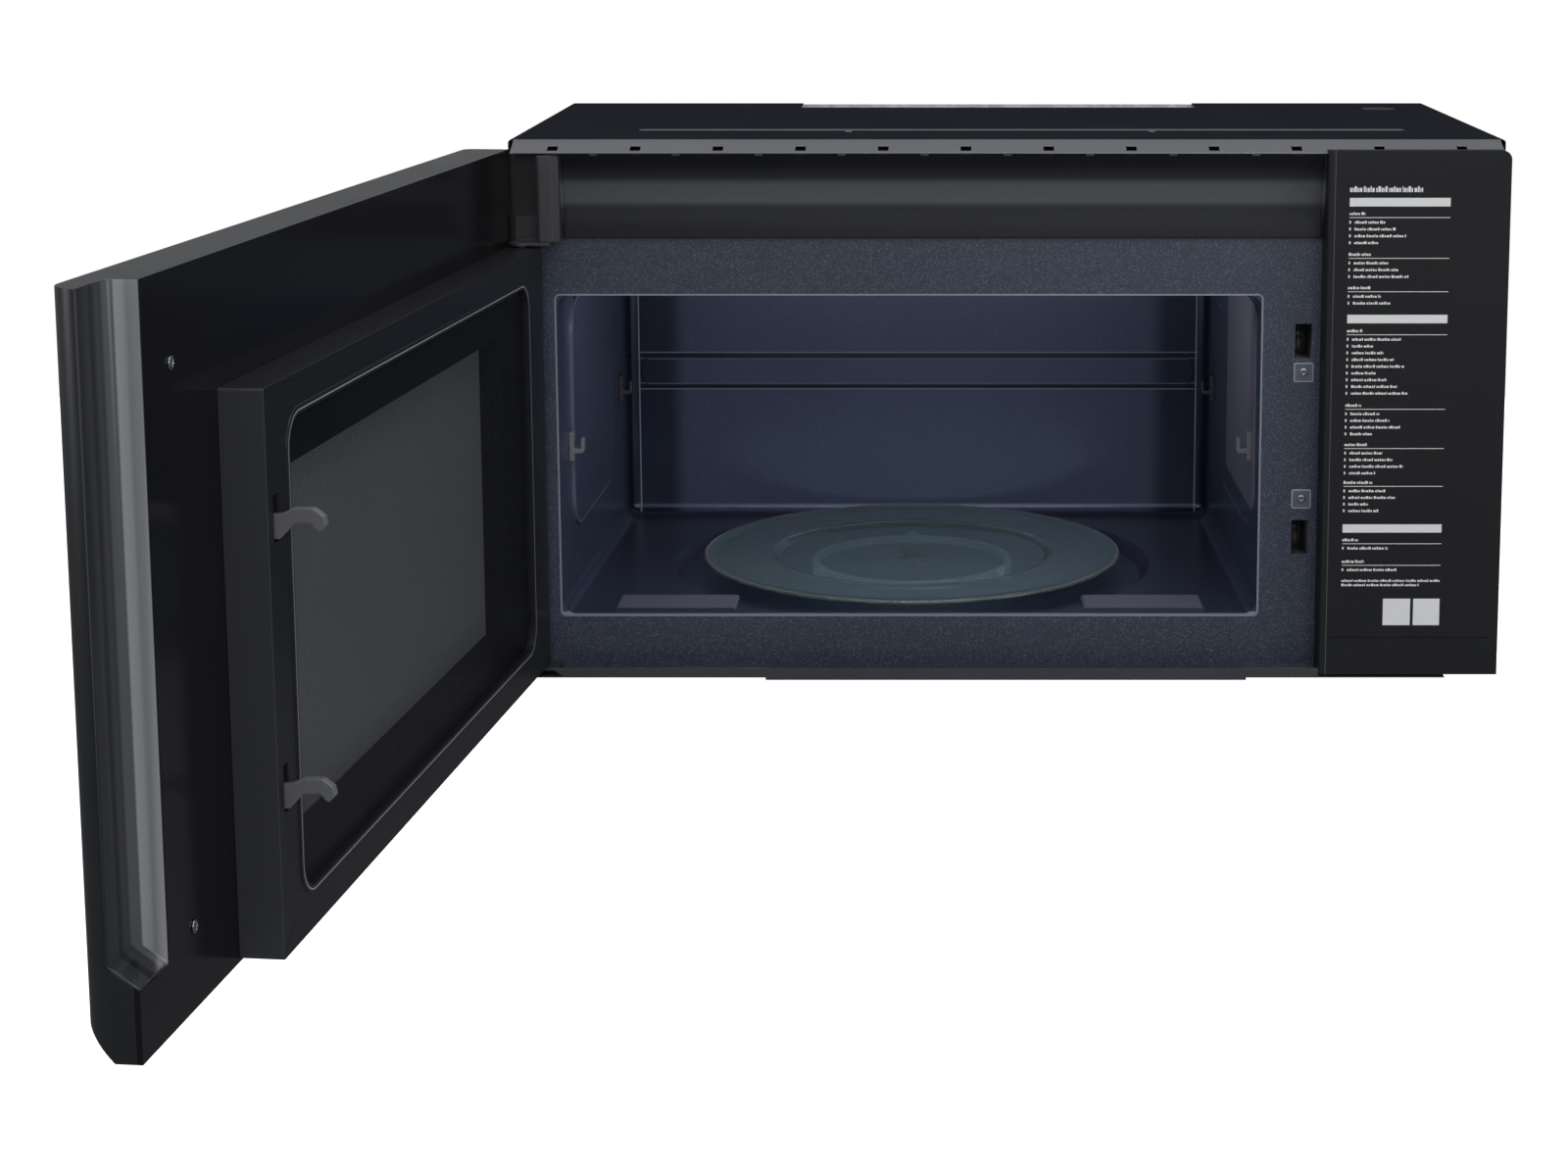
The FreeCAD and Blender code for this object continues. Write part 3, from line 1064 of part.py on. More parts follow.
def door_skin():
    """Door's outer shell: rounded edges, a bevelled foot, recesses for its glass and the pocket."""
    x = (LEFT, RIGHT)
    y = (DOOR_Y[0], DOOR_Y[1] - INNER_PANEL_T)
    outside = block(x, y, DOOR_Z)
    outside = outside.makeFillet(DOOR_FREE_R, near(outside, Z_AXIS, (RIGHT, DOOR_Y[0], 0)))
    outside = outside.makeFillet(DOOR_EDGE_R, near(outside, Z_AXIS, (LEFT, DOOR_Y[0], 0)))
    bevel = profile([(DOOR_Y[0] - 1, DOOR_Z[0] - 1), (DOOR_Y[0] + DOOR_CHAMFER, DOOR_Z[0] - 1),
                     (DOOR_Y[0] - 1, DOOR_Z[0] + DOOR_CHAMFER)], X_AXIS, grow(x, 1))
    outside = outside.cut(bevel)
    inside_y = (DOOR_Y[0] + GLASS_T + DOOR_WALL, y[1] + 1)
    inside = block(grow(x, -DOOR_WALL), inside_y, grow(DOOR_Z, -DOOR_WALL))
    inner_edge = near(inside, Z_AXIS, (RIGHT - DOOR_WALL, inside_y[0], 0))
    inside = inside.makeFillet(DOOR_FREE_R - GLASS_T - DOOR_WALL, inner_edge)
    inner_bevel = bevel.copy()
    inner_bevel.translate(Vector(0, DOOR_WALL, DOOR_WALL * 1.4))
    skin = outside.cut(inside.cut(inner_bevel))
    for glass_x in (FRONT_GLASS_X, TOUCH_X):
        seat = block(glass_x, (DOOR_Y[0] - 1, DOOR_Y[0] + GLASS_T), (FRONT_GLASS_Z[0] + 12, FRONT_GLASS_Z[1]))
        skin = skin.cut(seat)
    skin = skin.cut(block(WINDOW_X, (DOOR_Y[0] - 1, y[1]), WINDOW_Z))
    return skin.cut(pocket_form(0)).removeSplitter()


def door_glass(x):
    """Flat pane let into the door's outer face."""
    return block(x, (DOOR_Y[0], DOOR_Y[0] + GLASS_T), (FRONT_GLASS_Z[0] + 12, FRONT_GLASS_Z[1]))


DOOR_SCREW_X = RIGHT - POCKET_W - 36.0
DOOR_SCREW_ZS = (DOOR_Z[0] + 46.0, DOOR_Z[1] - 49.0)


def door_inner_panel():
    """Glossy inner face of the door round the window opening."""
    panel = block((LEFT, RIGHT), (DOOR_Y[1] - INNER_PANEL_T, DOOR_Y[1]), DOOR_Z)
    panel = panel.cut(block(WINDOW_X, grow(DOOR_Y, 5), WINDOW_Z))
    panel = panel.cut(pocket_form(0))
    for z in DOOR_SCREW_ZS:
        panel = panel.cut(prism(SCREW_R + SCREW_CLEAR, (DOOR_SCREW_X, DOOR_Y[1] - 10, z), Y_AXIS, 20))
    return panel


def door_screws():
    """Screws on the door's inner face."""
    screws = [screw((DOOR_SCREW_X, DOOR_Y[1], z), Y_AXIS, 3.8, 1.5, SCREW_R, 9) for z in DOOR_SCREW_ZS]
    return Part.makeCompound(screws)


def handle_insert():
    """Moulded liner of the pocket: a hollow-curved side, a back wall and a sloped floor."""
    trimmed = pocket_form(0).common(block((LEFT, RIGHT), DOOR_Y, DOOR_Z))
    return trimmed.cut(pocket_form(2.0))


def bush_forms(extra=0.0):
    """Flat-sided outsides of the door's two hinge bushes."""
    return [prism(BUSH_R, (HINGE_X, HINGE_Y, z), Z_AXIS, BUSH_H + extra, 16)
            for z in (PLUG_Z[0] - extra / 2, PLUG_Z[1] - BUSH_H - extra / 2)]


def choke_cover():
    """Satin plastic cover of the door plug: sides, a face with a raised ridge and the latch slots."""
    face_y = PLUG_Y[1] - 1.0
    outside = block(PLUG_X, (PLUG_Y[0], face_y), PLUG_Z)
    outside = outside.makeFillet(2.0, edges_along(outside, Y_AXIS))
    ridge = rounded(grow(RIDGE_X, 5), (face_y - 1, PLUG_Y[1]), grow(RIDGE_Z, 5), Y_AXIS, 22.0)
    hollow = block(grow(PLUG_X, -COVER_T), (PLUG_Y[0] - 1, SHELF_Y), grow(PLUG_Z, -COVER_T))
    opening = rounded(RIDGE_X, (SHELF_Y - 1, PLUG_Y[1] + 1), RIDGE_Z, Y_AXIS, 18.0)
    cover = outside.fuse(ridge).cut(hollow).cut(opening)
    for z in HOOK_ZS:
        cover = cover.cut(block(around(LATCH_X, LATCH_T / 2 + 1), (SHELF_Y - 1, PLUG_Y[1] + 1),
                                around(z, HOOK_SLOT_H / 2)))
    for bush in bush_forms(0.5):
        cover = cover.cut(bush)
    return cover.removeSplitter()


def choke_frame():
    """Pressed door frame inside the plug: a tray round the window, with the latch bar's guide."""
    x = grow(PLUG_X, -COVER_T)
    z = grow(PLUG_Z, -COVER_T)
    wall = 1.5
    body = block(x, (PLUG_Y[0], SHELF_Y), z)
    window = block(WINDOW_X, grow(PLUG_Y, 5), WINDOW_Z)
    rim = block(grow(WINDOW_X, wall), PLUG_Y, grow(WINDOW_Z, wall))
    hollow = block(grow(x, -wall), (PLUG_Y[0] - 1, SHELF_Y - wall), grow(z, -wall)).cut(rim)
    guide_x = around(LATCH_X, LATCH_T / 2 + SLIDE_CLEAR + wall)
    guide_z = (HOOK_ZS[1] - 36, HOOK_ZS[0] + 52)
    guide = block(guide_x, (PLUG_Y[0], SHELF_Y), guide_z)
    channel = block(around(LATCH_X, LATCH_T / 2 + SLIDE_CLEAR), (PLUG_Y[0] + wall, SHELF_Y - wall),
                    grow(guide_z, -wall))
    frame = body.cut(hollow).fuse(guide).cut(channel).cut(window)
    for hook_z in HOOK_ZS:
        frame = frame.cut(block(around(LATCH_X, LATCH_T / 2 + SLIDE_CLEAR), (SHELF_Y - 2 * wall, SHELF_Y + 1),
                                around(hook_z, HOOK_SLOT_H / 2)))
    for bush in bush_forms(0.5):
        frame = frame.cut(bush)
    return frame.removeSplitter()


def hinge_bushes():
    """Plastic bushes in the door plug that turn on the hinge pins."""
    bushes = []
    for bush in bush_forms():
        base = (HINGE_X, HINGE_Y, bush.BoundBox.ZMin - 1)
        bushes.append(bush.cut(rod(HINGE_PIN_R + RUN_CLEAR, base, Z_AXIS, BUSH_H + 2)))
    return Part.makeCompound(bushes)


def door_inner_glass():
    """Inner pane, let in behind the cover's ridge."""
    return rounded(grow(RIDGE_X, -0.2), (SHELF_Y, SHELF_Y + 2.5), grow(RIDGE_Z, -0.2), Y_AXIS, 18.0)


def door_screen():
    """Metal screen across the window opening."""
    return block(WINDOW_X, (PLUG_Y[0] + 5, PLUG_Y[0] + 5.8), WINDOW_Z)


BAR_Z = (HOOK_ZS[1] - 30, HOOK_ZS[0] + 26)
BAR_Y = (PLUG_Y[0] + 3.0, SHELF_Y - 1.5 - SLIDE_CLEAR)


def latch_bar():
    """Sliding latch bar with its two hooks, which reach through the plug's cover."""
    parts = [block(around(LATCH_X, LATCH_T / 2), BAR_Y, BAR_Z)]
    face = PLUG_Y[1]
    for z in HOOK_ZS:
        outline = [(BAR_Y[1] - 2, z - 11.5), (face + 1, z - 11.5), (face + 9, z - 3), (face + 19, z - 2),
                   (face + 22, z - 6), (face + HOOK_REACH - 4, z - 7), (face + HOOK_REACH, z - 3),
                   (face + HOOK_REACH - 1, z + 2), (face + 21, z + 6.5), (face + 10, z + 6.5),
                   (face + 3, z + 3), (BAR_Y[1] - 2, z + 1.5)]
        parts.append(profile(outline, X_AXIS, around(LATCH_X, LATCH_T / 2)))
    return union(parts)


SPRING_R = 2.2
SPRING_WIRE = 0.5
SPRING_TURNS = 5
SPRING_SIDES = 6
SPRING_TOP = HOOK_ZS[0] + 52 - 1.5


def latch_spring():
    """Coil spring that pushes the latch bar down: a wire of square section in short straight lengths."""
    low = Vector(LATCH_X, (BAR_Y[0] + BAR_Y[1]) / 2, BAR_Z[1] + SPRING_WIRE)
    rise = (SPRING_TOP - BAR_Z[1] - 2 * SPRING_WIRE) / (SPRING_TURNS * SPRING_SIDES)
    path = []
    for i in range(SPRING_TURNS * SPRING_SIDES + 1):
        angle = math.radians(360.0 * i / SPRING_SIDES)
        path.append(low + Vector(SPRING_R * math.cos(angle), SPRING_R * math.sin(angle), i * rise))
    corners = ((1, 1), (-1, 1), (-1, -1), (1, -1))
    section = [path[0] + Vector(x * SPRING_WIRE, 0, z * SPRING_WIRE) for x, z in corners]
    wire = Part.makePolygon(section + section[:1])
    return Part.makePolygon(path).makePipeShell([wire], True, True, 1)


CASE_NODES = {
    "outer_case": outer_case,
    "back_plate": back_plate,
    "base_pan": base_pan,
    "grease_filter_left": lambda: grease_filter(FILTER_XS[0]),
    "grease_filter_right": lambda: grease_filter(FILTER_XS[1]),
    "cooktop_lenses": cooktop_lenses,
    "cooktop_lamps": cooktop_lamps,
    "mount_nuts": mount_nuts,
    "case_screws": case_screws,
    "cord_inlet": cord_inlet,
    "cavity_liner": cavity_liner,
    "front_frame": front_frame,
    "waveguide_cover": waveguide_cover,
    "rack_supports": rack_supports,
    "vent_grille": vent_grille,
    "air_guide": air_guide,
    "hinge_pillar": hinge_pillar,
    "hinge_upper": lambda: hinge_bracket(BRACKET_Z, 1),
    "hinge_lower": lambda: hinge_bracket(LOW_BRACKET_Z, -1),
    "label_panel": label_panel,
    "blower_housing": blower_housing,
    "blower_motor": blower_motor,
    "blower_shaft": blower_shaft,
    "blower_wheel_left": lambda: blower_wheel(-1),
    "blower_wheel_right": lambda: blower_wheel(1),
    "exhaust_plate": exhaust_plate,
    "charcoal_filter": charcoal_filter,
    "waveguide": waveguide,
    "magnetron": magnetron,
    "hv_transformer": hv_transformer,
    "hv_capacitor": hv_capacitor,
    "fan_shroud": fan_shroud,
    "fan_motor": fan_motor,
    "cooling_fan": cooling_fan,
    "power_board": power_board,
    "cavity_lamp": cavity_lamp,
    "latch_board": latch_board,
    "interlock_switches": interlock_switches,
    "interlock_button_upper": lambda: interlock_button(HOOK_ZS[0]),
    "interlock_button_lower": lambda: interlock_button(HOOK_ZS[1]),
    "turntable_motor": turntable_motor,
    "drive_coupler": drive_coupler,
    "glass_tray": glass_tray,
    "roller_ring": roller_ring,
    "roller_1": lambda: roller(0),
    "roller_2": lambda: roller(1),
    "roller_3": lambda: roller(2),
}

DOOR_NODES = {
    "door_skin": door_skin,
    "door_window_glass": lambda: door_glass(FRONT_GLASS_X),
    "door_touch_glass": lambda: door_glass(TOUCH_X),
    "door_inner_panel": door_inner_panel,
    "door_screws": door_screws,
    "handle_insert": handle_insert,
    "choke_cover": choke_cover,
    "choke_frame": choke_frame,
    "hinge_bushes": hinge_bushes,
    "door_inner_glass": door_inner_glass,
    "door_screen": door_screen,
    "latch_bar": latch_bar,
    "latch_spring": latch_spring,
}

os.makedirs("parts", exist_ok=True)
for name, build in CASE_NODES.items():
    build().exportStep("parts/%s.step" % name)
for name, build in DOOR_NODES.items():
    opened = turned(build(), -DOOR_OPEN_ANGLE, (HINGE_X, HINGE_Y, 0))
    opened.exportStep("parts/%s.step" % name)
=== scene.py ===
import math
import bmesh
import bpy
import numpy as np
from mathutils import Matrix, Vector


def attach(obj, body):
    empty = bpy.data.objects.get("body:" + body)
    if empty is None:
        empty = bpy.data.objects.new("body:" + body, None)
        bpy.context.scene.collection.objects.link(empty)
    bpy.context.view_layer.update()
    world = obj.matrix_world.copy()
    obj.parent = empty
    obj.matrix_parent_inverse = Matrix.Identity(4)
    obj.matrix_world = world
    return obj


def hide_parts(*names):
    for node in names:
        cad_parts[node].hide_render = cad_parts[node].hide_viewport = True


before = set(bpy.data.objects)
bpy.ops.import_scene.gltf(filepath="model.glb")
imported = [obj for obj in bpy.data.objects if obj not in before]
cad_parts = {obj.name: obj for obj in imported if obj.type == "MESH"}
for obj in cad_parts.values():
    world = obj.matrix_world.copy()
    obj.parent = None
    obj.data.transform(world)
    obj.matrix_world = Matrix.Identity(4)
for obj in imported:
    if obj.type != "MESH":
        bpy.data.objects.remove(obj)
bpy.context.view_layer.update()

# Room. The oven hangs over a pale floor. Soft boxes light it from above, from behind, from the front
# and from both sides, and a small one lights the cavity from its roof. The backdrop is white to the
# camera and through glass, and a quarter as bright in reflections, so that dark paint stays dark.
scene = bpy.context.scene
scene.view_settings.view_transform = "Standard"


def put(tree, kind, options=None, **inputs):
    """Adds a shader node. Options are its own settings. Inputs are sockets by name (or i0, i1 by place),
    each given a value, or an output to link to."""
    node = tree.nodes.new("ShaderNode" + kind)
    for key, value in (options or {}).items():
        setattr(node, key, value)
    for key, value in inputs.items():
        by_place = key[0] == "i" and key[1:].isdigit()
        socket = node.inputs[int(key[1:])] if by_place else node.inputs[key.replace("_", " ")]
        if isinstance(value, bpy.types.NodeSocket):
            tree.links.new(value, socket)
        else:
            socket.default_value = value
    return node


def grid_mesh(name, points, wrap_rows=False, wrap_columns=False):
    """Mesh of a grid of points: every cell between four neighbours is a face. A wrapped direction joins
    its last line of points to its first. Doubles are merged and the faces turned outwards."""
    rows, columns = points.shape[:2]
    index = np.arange(rows * columns).reshape(rows, columns)
    index = np.concatenate([index, index[:1]]) if wrap_rows else index
    index = np.concatenate([index, index[:, :1]], axis=1) if wrap_columns else index
    cells = np.stack([index[:-1, :-1], index[:-1, 1:], index[1:, 1:], index[1:, :-1]], -1)
    mesh = bpy.data.meshes.new(name)
    mesh.from_pydata(points.reshape(-1, 3), [], cells.reshape(-1, 4).tolist())
    work = bmesh.new()
    work.from_mesh(mesh)
    bmesh.ops.remove_doubles(work, verts=work.verts, dist=1e-6)
    bmesh.ops.recalc_face_normals(work, faces=work.faces)
    work.to_mesh(mesh)
    work.free()
    mesh.polygons.foreach_set("use_smooth", [True] * len(mesh.polygons))
    piece = bpy.data.objects.new(name, mesh)
    scene.collection.objects.link(piece)
    return piece


FLOOR_Z = -1.7
floor_side = np.linspace(-9.0, 9.0, 3)
floor_points = np.stack(np.meshgrid(floor_side, floor_side, [FLOOR_Z], indexing="ij"), -1)[:, :, 0]
floor = grid_mesh("studio_floor", floor_points)
floor_paint = bpy.data.materials.new("pale_floor")
floor_paint.use_nodes = True
floor_tree = floor_paint.node_tree
floor_tree.nodes["Principled BSDF"].inputs["Roughness"].default_value = 0.9
floor_tree.nodes["Principled BSDF"].inputs["Emission Color"].default_value = (1, 1, 1, 1)
floor_path = put(floor_tree, "LightPath")
floor_shade = put(floor_tree, "Mix", {"data_type": "RGBA"}, Factor=floor_path.outputs["Is Glossy Ray"])
floor_shade.inputs[6].default_value = (0.8, 0.8, 0.8, 1)
floor_shade.inputs[7].default_value = (0.2, 0.2, 0.21, 1)
floor_tree.links.new(floor_shade.outputs[2], floor_tree.nodes["Principled BSDF"].inputs["Base Color"])
floor_glow = put(floor_tree, "Math", {"operation": "MULTIPLY"}, i0=floor_path.outputs["Is Camera Ray"], i1=1.2)
floor_tree.links.new(floor_glow.outputs[0], floor_tree.nodes["Principled BSDF"].inputs["Emission Strength"])
floor.data.materials.append(floor_paint)

world = bpy.data.worlds.new("studio")
world.use_nodes = True
scene.world = world
sky = world.node_tree
sky.nodes.clear()
sky_path = put(sky, "LightPath")
sky_seen = put(sky, "Background", Color=(1, 1, 1, 1), Strength=1.0)
sky_lit = put(sky, "Background", Color=(0.93, 0.96, 1, 1), Strength=0.42)
sky_shine = put(sky, "Background", Color=(0.93, 0.96, 1, 1), Strength=0.25)
sky_glossy = put(sky, "MixShader", i0=sky_path.outputs["Is Glossy Ray"], i1=sky_lit.outputs[0],
                 i2=sky_shine.outputs[0])
sky_clear = put(sky, "Math", {"operation": "MAXIMUM"}, i0=sky_path.outputs["Is Camera Ray"],
                i1=sky_path.outputs["Is Transmission Ray"])
sky_mix = put(sky, "MixShader", i0=sky_clear.outputs[0], i1=sky_glossy.outputs[0], i2=sky_seen.outputs[0])
put(sky, "OutputWorld", Surface=sky_mix.outputs[0])


def soft_box(name, place, aim, width, height, power):
    """Rectangular lamp at a place, turned so that it faces the point it is aimed at."""
    lamp = bpy.data.lights.new(name, "AREA")
    lamp.shape = "RECTANGLE"
    lamp.size, lamp.size_y, lamp.energy = width, height, power
    holder = bpy.data.objects.new(name, lamp)
    scene.collection.objects.link(holder)
    holder.location = place
    holder.rotation_euler = (Vector(aim) - Vector(place)).to_track_quat("-Z", "Y").to_euler()
    return holder


soft_box("lamp_above", (0.1, -1.3, 2.3), (0, -0.4, 0), 2.6, 1.4, 34)
soft_box("lamp_front", (0.5, -3.4, 1.1), (0.1, -0.4, 0), 2.0, 1.2, 20)
soft_box("lamp_left", (-2.6, -1.6, 0.7), (-0.3, -0.6, 0), 1.0, 1.8, 16)
soft_box("lamp_right", (2.4, -1.9, 0.5), (0.2, -0.4, 0), 1.0, 1.6, 12)
soft_box("lamp_behind", (0.1, 1.5, 1.9), (0, -0.3, 0.2), 2.6, 0.5, 4).visible_glossy = False
soft_box("lamp_cavity", (-0.075, -0.345, 0.078), (-0.075, -0.01, 0.05), 0.42, 0.03, 0.6)

view_camera = bpy.data.cameras.new("photo_view")
view_camera.lens, view_camera.sensor_width = 63.68, 36.0
view_camera.shift_x, view_camera.shift_y = -0.1014, -0.17
camera = bpy.data.objects.new("photo_view", view_camera)
scene.collection.objects.link(camera)
camera.location = (-0.0486, -2.4734, 0.3932)
camera.rotation_euler = (math.radians(81.23), 0, 0)
scene.camera = camera

# Case shell: a wrapped sheet of pre-painted steel with a bead and pressed cups, closed behind by a
# galvanised plate. Both are folded from sheet, so their edges are soft and their paint is fine-grained.
MM = 0.001


def group_sockets(group, inputs, outputs):
    """Names a node group's sockets. Inputs are (name, kind, value), outputs (name, kind)."""
    for name, kind, value in inputs:
        socket = group.interface.new_socket(name, in_out="INPUT", socket_type="NodeSocket" + kind)
        if value is not None:
            socket.default_value = value
    for name, kind in outputs:
        group.interface.new_socket(name, in_out="OUTPUT", socket_type="NodeSocket" + kind)


def make_grain():
    """Surface grain: slow noise shifts the colour's value and the gloss up and down about their means, and
    fine noise gives the height. Shade = colour x (1 + shift x (slow - 1/2)); gloss likewise."""
    group = bpy.data.node_groups.new("surface_grain", "ShaderNodeTree")
    group_sockets(group, [("Vector", "Vector", None), ("Colour", "Color", (0.5, 0.5, 0.5, 1)),
                          ("Shift", "Float", 0.2), ("Gloss", "Float", 0.4), ("Gloss Shift", "Float", 0.1),
                          ("Slow", "Float", 9.0), ("Fine", "Float", 1400.0)],
                  [("Colour", "Color"), ("Gloss", "Float"), ("Height", "Float")])
    start, end = group.nodes.new("NodeGroupInput"), group.nodes.new("NodeGroupOutput")
    given = start.outputs
    slow = put(group, "TexNoise", Vector=given["Vector"], Scale=given["Slow"], Detail=4.0, Roughness=0.6)
    fine = put(group, "TexNoise", Vector=given["Vector"], Scale=given["Fine"], Detail=2.0)
    centred = put(group, "Math", {"operation": "SUBTRACT"}, i0=slow.outputs[0], i1=0.5)
    by_shift = put(group, "Math", {"operation": "MULTIPLY_ADD"}, i0=centred.outputs[0], i1=given["Shift"],
                   i2=1.0)
    shaded = put(group, "VectorMath", {"operation": "SCALE"}, i0=given["Colour"], Scale=by_shift.outputs[0])
    gloss = put(group, "Math", {"operation": "MULTIPLY_ADD", "use_clamp": True}, i0=centred.outputs[0],
                i1=given["Gloss Shift"], i2=given["Gloss"])
    for name, node in (("Colour", shaded), ("Gloss", gloss), ("Height", fine)):
        group.links.new(node.outputs[0], end.inputs[name])
    return group


grain = make_grain()


def make_outline():
    """Line along a rounded rectangle: d = length(max(|p - centre| - half + radius, 0)) - radius is the distance
    out of it, and the line is 1 where |d - middle| is below the width, with a smooth edge. A direction in which
    half is very large has no effect. Inside, d goes down to -radius only, so a line there needs that radius."""
    group = bpy.data.node_groups.new("outline_line", "ShaderNodeTree")
    group_sockets(group, [("Vector", "Vector", None), ("Centre", "Vector", None), ("Half", "Vector", None),
                          ("Radius", "Float", 0.01), ("Middle", "Float", 0.0), ("Width", "Float", 0.001)],
                  [("Line", "Float")])
    start, end = group.nodes.new("NodeGroupInput"), group.nodes.new("NodeGroupOutput")
    given = start.outputs
    offset = put(group, "VectorMath", {"operation": "SUBTRACT"}, i0=given["Vector"], i1=given["Centre"])
    size = put(group, "VectorMath", {"operation": "ABSOLUTE"}, i0=offset.outputs[0])
    inner = put(group, "VectorMath", {"operation": "SUBTRACT"}, i0=given["Half"], i1=given["Radius"])
    past = put(group, "VectorMath", {"operation": "SUBTRACT"}, i0=size.outputs[0], i1=inner.outputs[0])
    kept = put(group, "VectorMath", {"operation": "MAXIMUM"}, i0=past.outputs[0])
    reach = put(group, "VectorMath", {"operation": "LENGTH"}, i0=kept.outputs[0])
    distance = put(group, "Math", {"operation": "SUBTRACT"}, i0=reach.outputs["Value"], i1=given["Radius"])
    apart = put(group, "Math", {"operation": "SUBTRACT"}, i0=distance.outputs[0], i1=given["Middle"])
    size_apart = put(group, "Math", {"operation": "ABSOLUTE"}, i0=apart.outputs[0])
    ratio = put(group, "Math", {"operation": "DIVIDE"}, i0=size_apart.outputs[0], i1=given["Width"])
    line = put(group, "MapRange", {"interpolation_type": "SMOOTHSTEP"}, Value=ratio.outputs[0],
               From_Min=0.6, From_Max=1.4, To_Min=1.0, To_Max=0.0)
    group.links.new(line.outputs[0], end.inputs["Line"])
    return group


outline = make_outline()
FAR = 9000


def tint(tree, base, mask, colour):
    """Colour output that turns from the base to a colour as the mask goes from 0 to 1."""
    blend = put(tree, "Mix", {"data_type": "RGBA"}, Factor=mask)
    tree.links.new(base, blend.inputs[6])
    blend.inputs[7].default_value = (*colour, 1)
    return blend.outputs[2]


def line_on(tree, centre, half, radius, middle, width, place=None):
    """Mask of a line along a rounded rectangle in object space, or round another vector, with its sizes in
    millimetres."""
    place = place or tree.nodes["Texture Coordinate"].outputs["Object"]
    return put(tree, "Group", {"node_tree": outline}, Vector=place,
               Centre=[c * MM for c in centre], Half=[h * MM for h in half], Radius=radius * MM,
               Middle=middle * MM, Width=width * MM).outputs["Line"]


def where(tree, axis, low, high, place=None):
    """Mask that is 1 where a coordinate (0, 1 or 2) of the object, or of another vector, is between two values
    in millimetres."""
    place = place or tree.nodes["Texture Coordinate"].outputs["Object"]
    parts = put(tree, "SeparateXYZ", Vector=place)
    apart = put(tree, "Math", {"operation": "SUBTRACT"}, i0=parts.outputs[axis], i1=(low + high) / 2 * MM)
    size = put(tree, "Math", {"operation": "ABSOLUTE"}, i0=apart.outputs[0])
    inside = put(tree, "Math", {"operation": "LESS_THAN"}, i0=size.outputs[0], i1=(high - low) / 2 * MM)
    return inside.outputs[0]


def both(tree, *masks):
    """Product of masks."""
    product = masks[0]
    for mask in masks[1:]:
        product = put(tree, "Math", {"operation": "MULTIPLY"}, i0=product, i1=mask).outputs[0]
    return product


def finish(name, colour, gloss, shift=0.25, gloss_shift=0.12, slow=9.0, fine=1400.0, depth=0.02, **sockets):
    """Material whose colour, roughness and fine bump come from the surface grain. Other Principled sockets
    are set by name. Gives the material, its tree, its shader and its grain node."""
    material = bpy.data.materials.new(name)
    material.use_nodes = True
    tree = material.node_tree
    shader = tree.nodes["Principled BSDF"]
    place = put(tree, "TexCoord")
    grained = put(tree, "Group", {"node_tree": grain}, Vector=place.outputs["Object"], Colour=(*colour, 1),
                  Shift=shift, Gloss=gloss, Gloss_Shift=gloss_shift, Slow=slow, Fine=fine)
    bump = put(tree, "Bump", Strength=depth, Distance=0.001, Height=grained.outputs["Height"])
    tree.links.new(grained.outputs["Colour"], shader.inputs["Base Color"])
    tree.links.new(grained.outputs["Gloss"], shader.inputs["Roughness"])
    tree.links.new(bump.outputs[0], shader.inputs["Normal"])
    for key, value in sockets.items():
        shader.inputs[key.replace("_", " ")].default_value = value
    return material, tree, shader, grained


def dress(material, names, edge=0.4, whole=0.6):
    """Gives CAD pieces a material and soft edges: the triangles are joined, faces flat to so many degrees made
    whole, sharp edges rounded by so many millimetres, and the shading follows the larger faces."""
    for name in names:
        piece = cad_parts[name]
        piece.data.materials.clear()
        piece.data.materials.append(material)
        piece.data.polygons.foreach_set("use_smooth", [True] * len(piece.data.polygons))
        weld = piece.modifiers.new("join", "WELD")
        weld.merge_threshold = 0.00001
        if whole > 0:
            flat = piece.modifiers.new("flats", "DECIMATE")
            flat.decimate_type, flat.angle_limit = "DISSOLVE", math.radians(whole)
        if edge > 0:
            soft = piece.modifiers.new("soft_edge", "BEVEL")
            soft.width, soft.segments = edge * MM, 2
            soft.limit_method, soft.angle_limit = "ANGLE", math.radians(35)
            soft.miter_outer = "MITER_ARC"
        shade = piece.modifiers.new("shading", "WEIGHTED_NORMAL")
        shade.keep_sharp, shade.weight = False, 90


case_paint, case_tree, case_shader, case_grain = finish(
    "case_black_paint", (0.016, 0.017, 0.021), 0.38, shift=0.35, depth=0.03, Specular_IOR_Level=0.0)
case_colour = case_grain.outputs["Colour"]
# Painted light on the top bead: the pale line on its outline is a painted highlight, and the dark line 2 mm
# inside it is painted shade.
for middle, width, colour in ((0.0, 0.9, (0.16, 0.165, 0.18)), (-2.0, 1.0, (0.003, 0.003, 0.004))):
    bead_highlight_and_shade_line = line_on(case_tree, (13.5, -282, 0), (301.5, 5, FAR), 4.0, middle, width)
    bead = both(case_tree, bead_highlight_and_shade_line, where(case_tree, 2, 200, 212))
    case_colour = tint(case_tree, case_colour, bead, colour)
case_tree.links.new(case_colour, case_shader.inputs["Base Color"])
dress(case_paint, ["outer_case"], edge=0.5)


